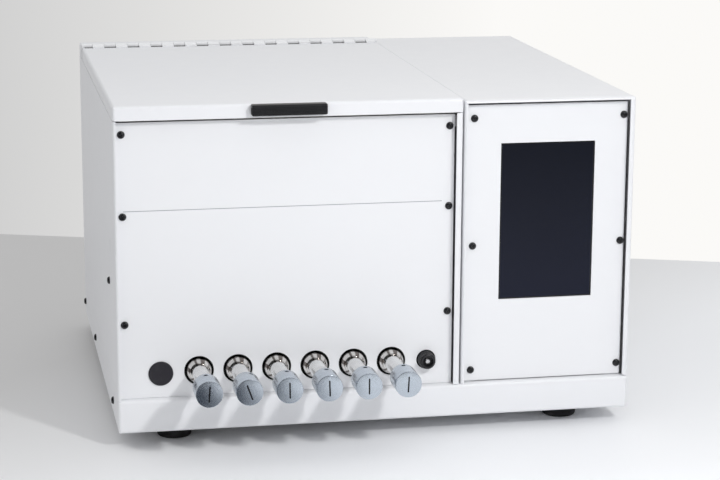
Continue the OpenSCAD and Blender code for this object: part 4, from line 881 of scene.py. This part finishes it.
def makePull():
    p = pull
    front, back, high, wall = p["front"], p["back"], p["high"], p["wall"]
    outline = [(back, high), (-7.6, high), (-8.8, high - 0.35), (-9.5, high - 1.1)]
    top, low = high - 1.5, p["low"] + 1.3
    pitch = (top - low) / p["ribs"]
    for k in range(p["ribs"]):
        z = top - k * pitch
        dip = front + p["ribDepth"]
        outline += [(front, z - pitch * 0.12), (front, z - pitch * 0.55),
                    (dip, z - pitch * 0.7), (dip, z - pitch * 0.95)]
    outline += [(-9.6, p["low"] + 0.5), (-9.1, p["low"]), (front + wall, p["low"]),
                (front + wall, high - wall), (back - wall, high - wall), (back - wall, p["low"]),
                (back, p["low"])]
    bm = bmesh.new()
    middle = Matrix.Translation(-Vector((0, (back + front) / 2, (p["low"] + high) / 2)))
    stations = [*p["ends"], *[(p["width"] - d, s) for d, s in reversed(p["ends"])]]
    corners = [bm.verts.new((p["x"], y, z)) for y, z in outline]
    face = bm.faces.new(corners)
    at, size = stations[0]
    bmesh.ops.scale(bm, vec=(1, size, size), space=middle, verts=corners)
    for distance, scale in stations[1:]:
        face, corners = pushOut(bm, [face], (distance - at, 0, 0))
        change = scale / size
        bmesh.ops.scale(bm, vec=(1, change, change), space=middle, verts=corners)
        at, size = distance, scale
    for web in p["webs"]:
        x = p["x"] + web
        addBlock(bm, (x, front + wall - 0.2, p["low"] + 0.8),
                 (x + 2.2, back - wall + 0.2, high - wall + 0.2))
    finishPiece("ribbedPull", bm, [pullBlack], "lid", ["lid_handle"], 25)


makePull()
print("stage: lid pull")


# the two column coils
column = {"xs": (98.3, 230.3), "y": 186.0, "z": 150.0, "radius": 56.0, "tube": 1.6,
          "turns": 10.5, "pitch": 5.0, "top": 256.0, "stepsPerTurn": 56, "sides": 14}


def makeColumn(index):
    c = column
    x = c["xs"][index]
    bm = bmesh.new()
    ring = bmesh.ops.create_circle(bm, segments=c["sides"], radius=c["tube"], cap_ends=True)["verts"]
    bmesh.ops.translate(bm, vec=(x + c["radius"], c["y"], c["top"]), verts=ring)
    face = pushOut(bm, bm.faces[:], (0, 0, c["z"] - c["top"]))[0]
    steps = int(c["turns"] * c["stepsPerTurn"])
    climb = c["turns"] * c["pitch"] / steps
    spun = bmesh.ops.spin(bm, geom=[face], cent=(x, c["y"], c["z"]), axis=(0, 1, 0),
                          angle=c["turns"] * math.tau, steps=steps, dvec=(0, climb, 0))["geom_last"]
    face = next(g for g in spun if isinstance(g, bmesh.types.BMFace))
    pushOut(bm, [face], (0, 0, c["top"] - c["z"]))
    letter = "AB"[index]
    node = "column_" + letter.lower()
    finishPiece("columnCoil" + letter, bm, [tubeSteel], "case", [node], 50)


for i in range(2):
    makeColumn(i)
print("stage: columns")


# the touch glass and its border
display = {"x": (367.9, 460.7), "z": (112.8, 265.6), "border": 6.0, "front": 8.5,
           "shoulder": 10.1, "back": 12.2, "fit": 0.25, "round": 0.35, "rim": 1.1}


def makeDisplay():
    d = display
    (x0, x1), (z0, z1) = d["x"], d["z"]
    border, fit = d["border"], d["fit"]
    bm = bmesh.new()
    addBlock(bm, (x0 - border, d["shoulder"], z0 - border), (x1 + border, d["back"], z1 + border))
    for f in bm.faces:
        f.material_index = 1
    verts = addBlock(bm, (x0 + fit, d["front"], z0 + fit),
                     (x1 - fit, d["shoulder"] + 0.5, z1 - fit))
    ahead = {v for v in verts if v.co.y < d["front"] + 0.5}
    edges = [e for e in bm.edges if ahead.issuperset(e.verts)]
    bmesh.ops.bevel(bm, geom=edges, offset=d["round"], segments=3, affect="EDGES", profile=0.5,
                    material=-1)
    face = min(bm.faces, key=lambda f: f.calc_center_median().y)
    rim = bmesh.ops.inset_region(bm, faces=[face], thickness=d["rim"], depth=0.0)
    for f in rim["faces"]:
        f.material_index = 1
    finishPiece("touchGlass", bm, [screenGlass, borderGlass], "case", ["touch_display"], 30)


makeDisplay()
print("stage: display")


# the floor's colour is paler in front and to the right and darker behind and to the left, painted light
# and shade of the lamp's fall-off; it ends at an edge that runs a little askew
floorTones = {"near": (0.955, 0.965, 0.985), "far": (0.66, 0.655, 0.65), "range": (-0.30, 0.40)}
edgeLeft = Vector((-0.33246, 0.75846, 0))
edgeRight = Vector((0.58355, 0.43133, 0))


def stagePlane(name, corners, mat):
    bm = bmesh.new()
    bm.faces.new([bm.verts.new(c) for c in corners])
    mesh = bpy.data.meshes.new(name)
    bm.to_mesh(mesh)
    bm.free()
    mesh.materials.append(mat)
    plane = bpy.data.objects.new(name, mesh)
    scene.collection.objects.link(plane)
    return plane


def floorFinish():
    mat, tree, shader = newFinish("paleFloor")
    point = objectPoint(tree)
    place = apart(tree, point)
    # painted shade: the colour darkens towards the back and the left
    backLeft = combine(tree, "SUBTRACT", place["Y"], place["X"])
    depth = spread(tree, backLeft, 0.0, 1.0, *floorTones["range"])
    colour = blendColours(tree, depth, floorTones["near"], floorTones["far"])
    tree.links.new(colour, shader.inputs["Base Color"])
    shader.inputs["Roughness"].default_value = 0.5
    shader.inputs["Specular IOR Level"].default_value = 0.25
    bumpFrom(tree, shader, noiseValue(tree, point, 220.0, 2.0), 0.00002)
    return mat


along = (edgeRight - edgeLeft).normalized()
farLeft, farRight = edgeLeft - along * 6, edgeRight + along * 6
floorPaint = floorFinish()
stagePlane("floorPlane", [(-6, -5, 0), (6, -5, 0), farRight, farLeft], floorPaint)
# behind its edge the floor falls away, out of the front view
falling = Vector((0, 6, -1.9))
stagePlane("floorBehindPlane", [farLeft, farRight, farRight + falling, farLeft + falling], floorPaint)

# the backdrop's tones from left to right are painted shade and light
backdropTones = {"left": (0.595, 0.595, 0.595), "right": (0.965, 0.955, 0.935), "range": (-0.45, 0.75),
                 "corners": [(-6, 2.2, -3), (6, 2.2, -3), (6, 2.2, 4), (-6, 2.2, 4)]}


# glows towards the front and is clear from behind; its glow is darker on the left and paler on the
# right, painted shade and light across the backdrop
def backdropFinish():
    mat = bpy.data.materials.new("backdrop")
    mat.use_nodes = True
    tree = mat.node_tree
    tree.nodes.clear()
    glow = addNode(tree, "ShaderNodeEmission")
    across = apart(tree, objectPoint(tree))["X"]
    tone = spread(tree, across, 0.0, 1.0, *backdropTones["range"])
    colour = blendColours(tree, tone, backdropTones["left"], backdropTones["right"])
    tree.links.new(colour, glow.inputs["Color"])
    side = addNode(tree, "ShaderNodeNewGeometry")
    clear = addNode(tree, "ShaderNodeBsdfTransparent")
    mixed = addNode(tree, "ShaderNodeMixShader")
    tree.links.new(side.outputs["Backfacing"], mixed.inputs["Fac"])
    tree.links.new(glow.outputs["Emission"], mixed.inputs[1])
    tree.links.new(clear.outputs["BSDF"], mixed.inputs[2])
    out = addNode(tree, "ShaderNodeOutputMaterial")
    tree.links.new(mixed.outputs["Shader"], out.inputs["Surface"])
    return mat


backdrop = stagePlane("backdropPlane", backdropTones["corners"], backdropFinish())
backdrop.visible_diffuse = False
backdrop.visible_shadow = False

boardTones = {"left": (0.03, 0.04, 0.06), "right": (0.93, 0.94, 0.96), "range": (-0.16, 0.0),
              "corners": [(-0.9, -1.3, 0.003), (0.4, -1.3, 0.003), (0.4, -0.34, 0.003),
                          (-0.9, -0.34, 0.003)]}


# a dark board that only polished metal sees, paler towards the right
def boardSeenInMetal():
    mat, tree, shader = newFinish("darkBoard")
    across = apart(tree, objectPoint(tree))["X"]
    tone = spread(tree, across, 0.0, 1.0, *boardTones["range"])
    colour = blendColours(tree, tone, boardTones["left"], boardTones["right"])
    tree.links.new(colour, shader.inputs["Base Color"])
    shader.inputs["Roughness"].default_value = 1.0
    board = stagePlane("boardPlane", boardTones["corners"], mat)
    board.visible_camera = False
    board.visible_diffuse = False
    board.visible_shadow = False


boardSeenInMetal()

# the lamps' places are in metres from the frame's origin
keyLook = {"place": (0.477, -1.228, 0.948), "power": 8.15, "size": 0.12, "aim": (-1.2, -0.3, -0.3)}
fillLook = {"place": (-0.05, -1.0, 0.14), "power": 0.62, "size": 0.5, "aim": (-0.05, -0.2, 0.08)}
topLook = {"power": 0.14, "angle": 60, "towards": (0.1, 0.1, 1)}
roomLook = {"base": 0.28, "tilt": (-0.22, 0.08, 0.60), "colour": (0.985, 0.99, 1.0)}
mirrorLook = {"base": 0.44, "tilt": (0.50, 0.60, 0.10), "colour": (0.97, 0.98, 1.0)}
paleColour = (0.90, 0.90, 0.89)


# a lamp that shines away from the way it is turned to
def addLamp(name, kind, power, towards):
    data = bpy.data.lights.new(name, kind)
    data.energy = power
    lamp = bpy.data.objects.new(name, data)
    lamp.rotation_mode = "QUATERNION"
    lamp.rotation_quaternion = Vector(towards).to_track_quat("Z", "Y")
    scene.collection.objects.link(lamp)
    return lamp


def addDiskLamp(name, look):
    place = Vector(look["place"])
    lamp = addLamp(name, "AREA", look["power"], place - Vector(look["aim"]))
    lamp.data.shape = "DISK"
    lamp.data.size = look["size"]
    lamp.location = place
    return lamp


def addTopLamp(look):
    lamp = addLamp("topLamp", "SUN", look["power"], look["towards"])
    lamp.data.angle = math.radians(look["angle"])


# a soft pale room: one tone lights the piece, and polished faces see another, dark in front
def makeWorld():
    world = bpy.data.worlds.new("paleWorld")
    scene.world = world
    world.use_nodes = True
    tree = world.node_tree
    tree.nodes.clear()
    point = addNode(tree, "ShaderNodeTexCoord")

    def wallOf(colour):
        wall = addNode(tree, "ShaderNodeBackground")
        wall.inputs["Color"].default_value = (*colour, 1)
        return wall

    def leaningWall(look):
        dot = addNode(tree, "ShaderNodeVectorMath", operation="DOT_PRODUCT")
        dot.inputs[1].default_value = look["tilt"]
        tree.links.new(point.outputs["Generated"], dot.inputs[0])
        total = combine(tree, "ADD", dot.outputs["Value"], look["base"])
        total = combine(tree, "MAXIMUM", combine(tree, "MINIMUM", total, 0.92), 0.03)
        wall = wallOf(look["colour"])
        tree.links.new(total, wall.inputs["Strength"])
        return wall

    lit, seen, pale = leaningWall(roomLook), leaningWall(mirrorLook), wallOf(paleColour)
    path = addNode(tree, "ShaderNodeLightPath")
    rays = path.outputs
    mirrored = combine(tree, "MAXIMUM", rays["Is Glossy Ray"], rays["Is Transmission Ray"])
    room = lit
    for ray, wall in ((mirrored, seen), (rays["Is Camera Ray"], pale)):
        mixed = addNode(tree, "ShaderNodeMixShader")
        tree.links.new(ray, mixed.inputs["Fac"])
        tree.links.new(room.outputs[0], mixed.inputs[1])
        tree.links.new(wall.outputs["Background"], mixed.inputs[2])
        room = mixed
    out = addNode(tree, "ShaderNodeOutputWorld")
    tree.links.new(room.outputs[0], out.inputs["Surface"])


addDiskLamp("keyLamp", keyLook)
addDiskLamp("fillLamp", fillLook).visible_glossy = False
addTopLamp(topLook)
makeWorld()

# place in metres, angles in degrees, lens and sensor in mm
view = {"place": (-0.3934, -2.1029, 0.6348), "yaw": 11.137, "pitch": 12.802, "roll": 0.295,
        "lens": 105.54, "sensor": 36, "clip": 50}


def makeCamera():
    yaw, pitch, roll = (math.radians(view[k]) for k in ("yaw", "pitch", "roll"))
    level = math.cos(pitch)
    ahead = Vector((math.sin(yaw) * level, math.cos(yaw) * level, -math.sin(pitch)))
    right = Vector((math.cos(yaw), -math.sin(yaw), 0))
    up = right.cross(ahead)
    rolledRight = right * math.cos(roll) + up * math.sin(roll)
    rolledUp = up * math.cos(roll) - right * math.sin(roll)
    data = bpy.data.cameras.new("viewCamera")
    data.lens = view["lens"]
    data.sensor_width = view["sensor"]
    data.clip_end = view["clip"]
    camera = bpy.data.objects.new("viewCamera", data)
    turn = Matrix((rolledRight, rolledUp, -ahead)).transposed().to_4x4()
    camera.matrix_world = Matrix.Translation(view["place"]) @ turn
    scene.collection.objects.link(camera)
    scene.camera = camera


makeCamera()
print("stage: lights and camera")
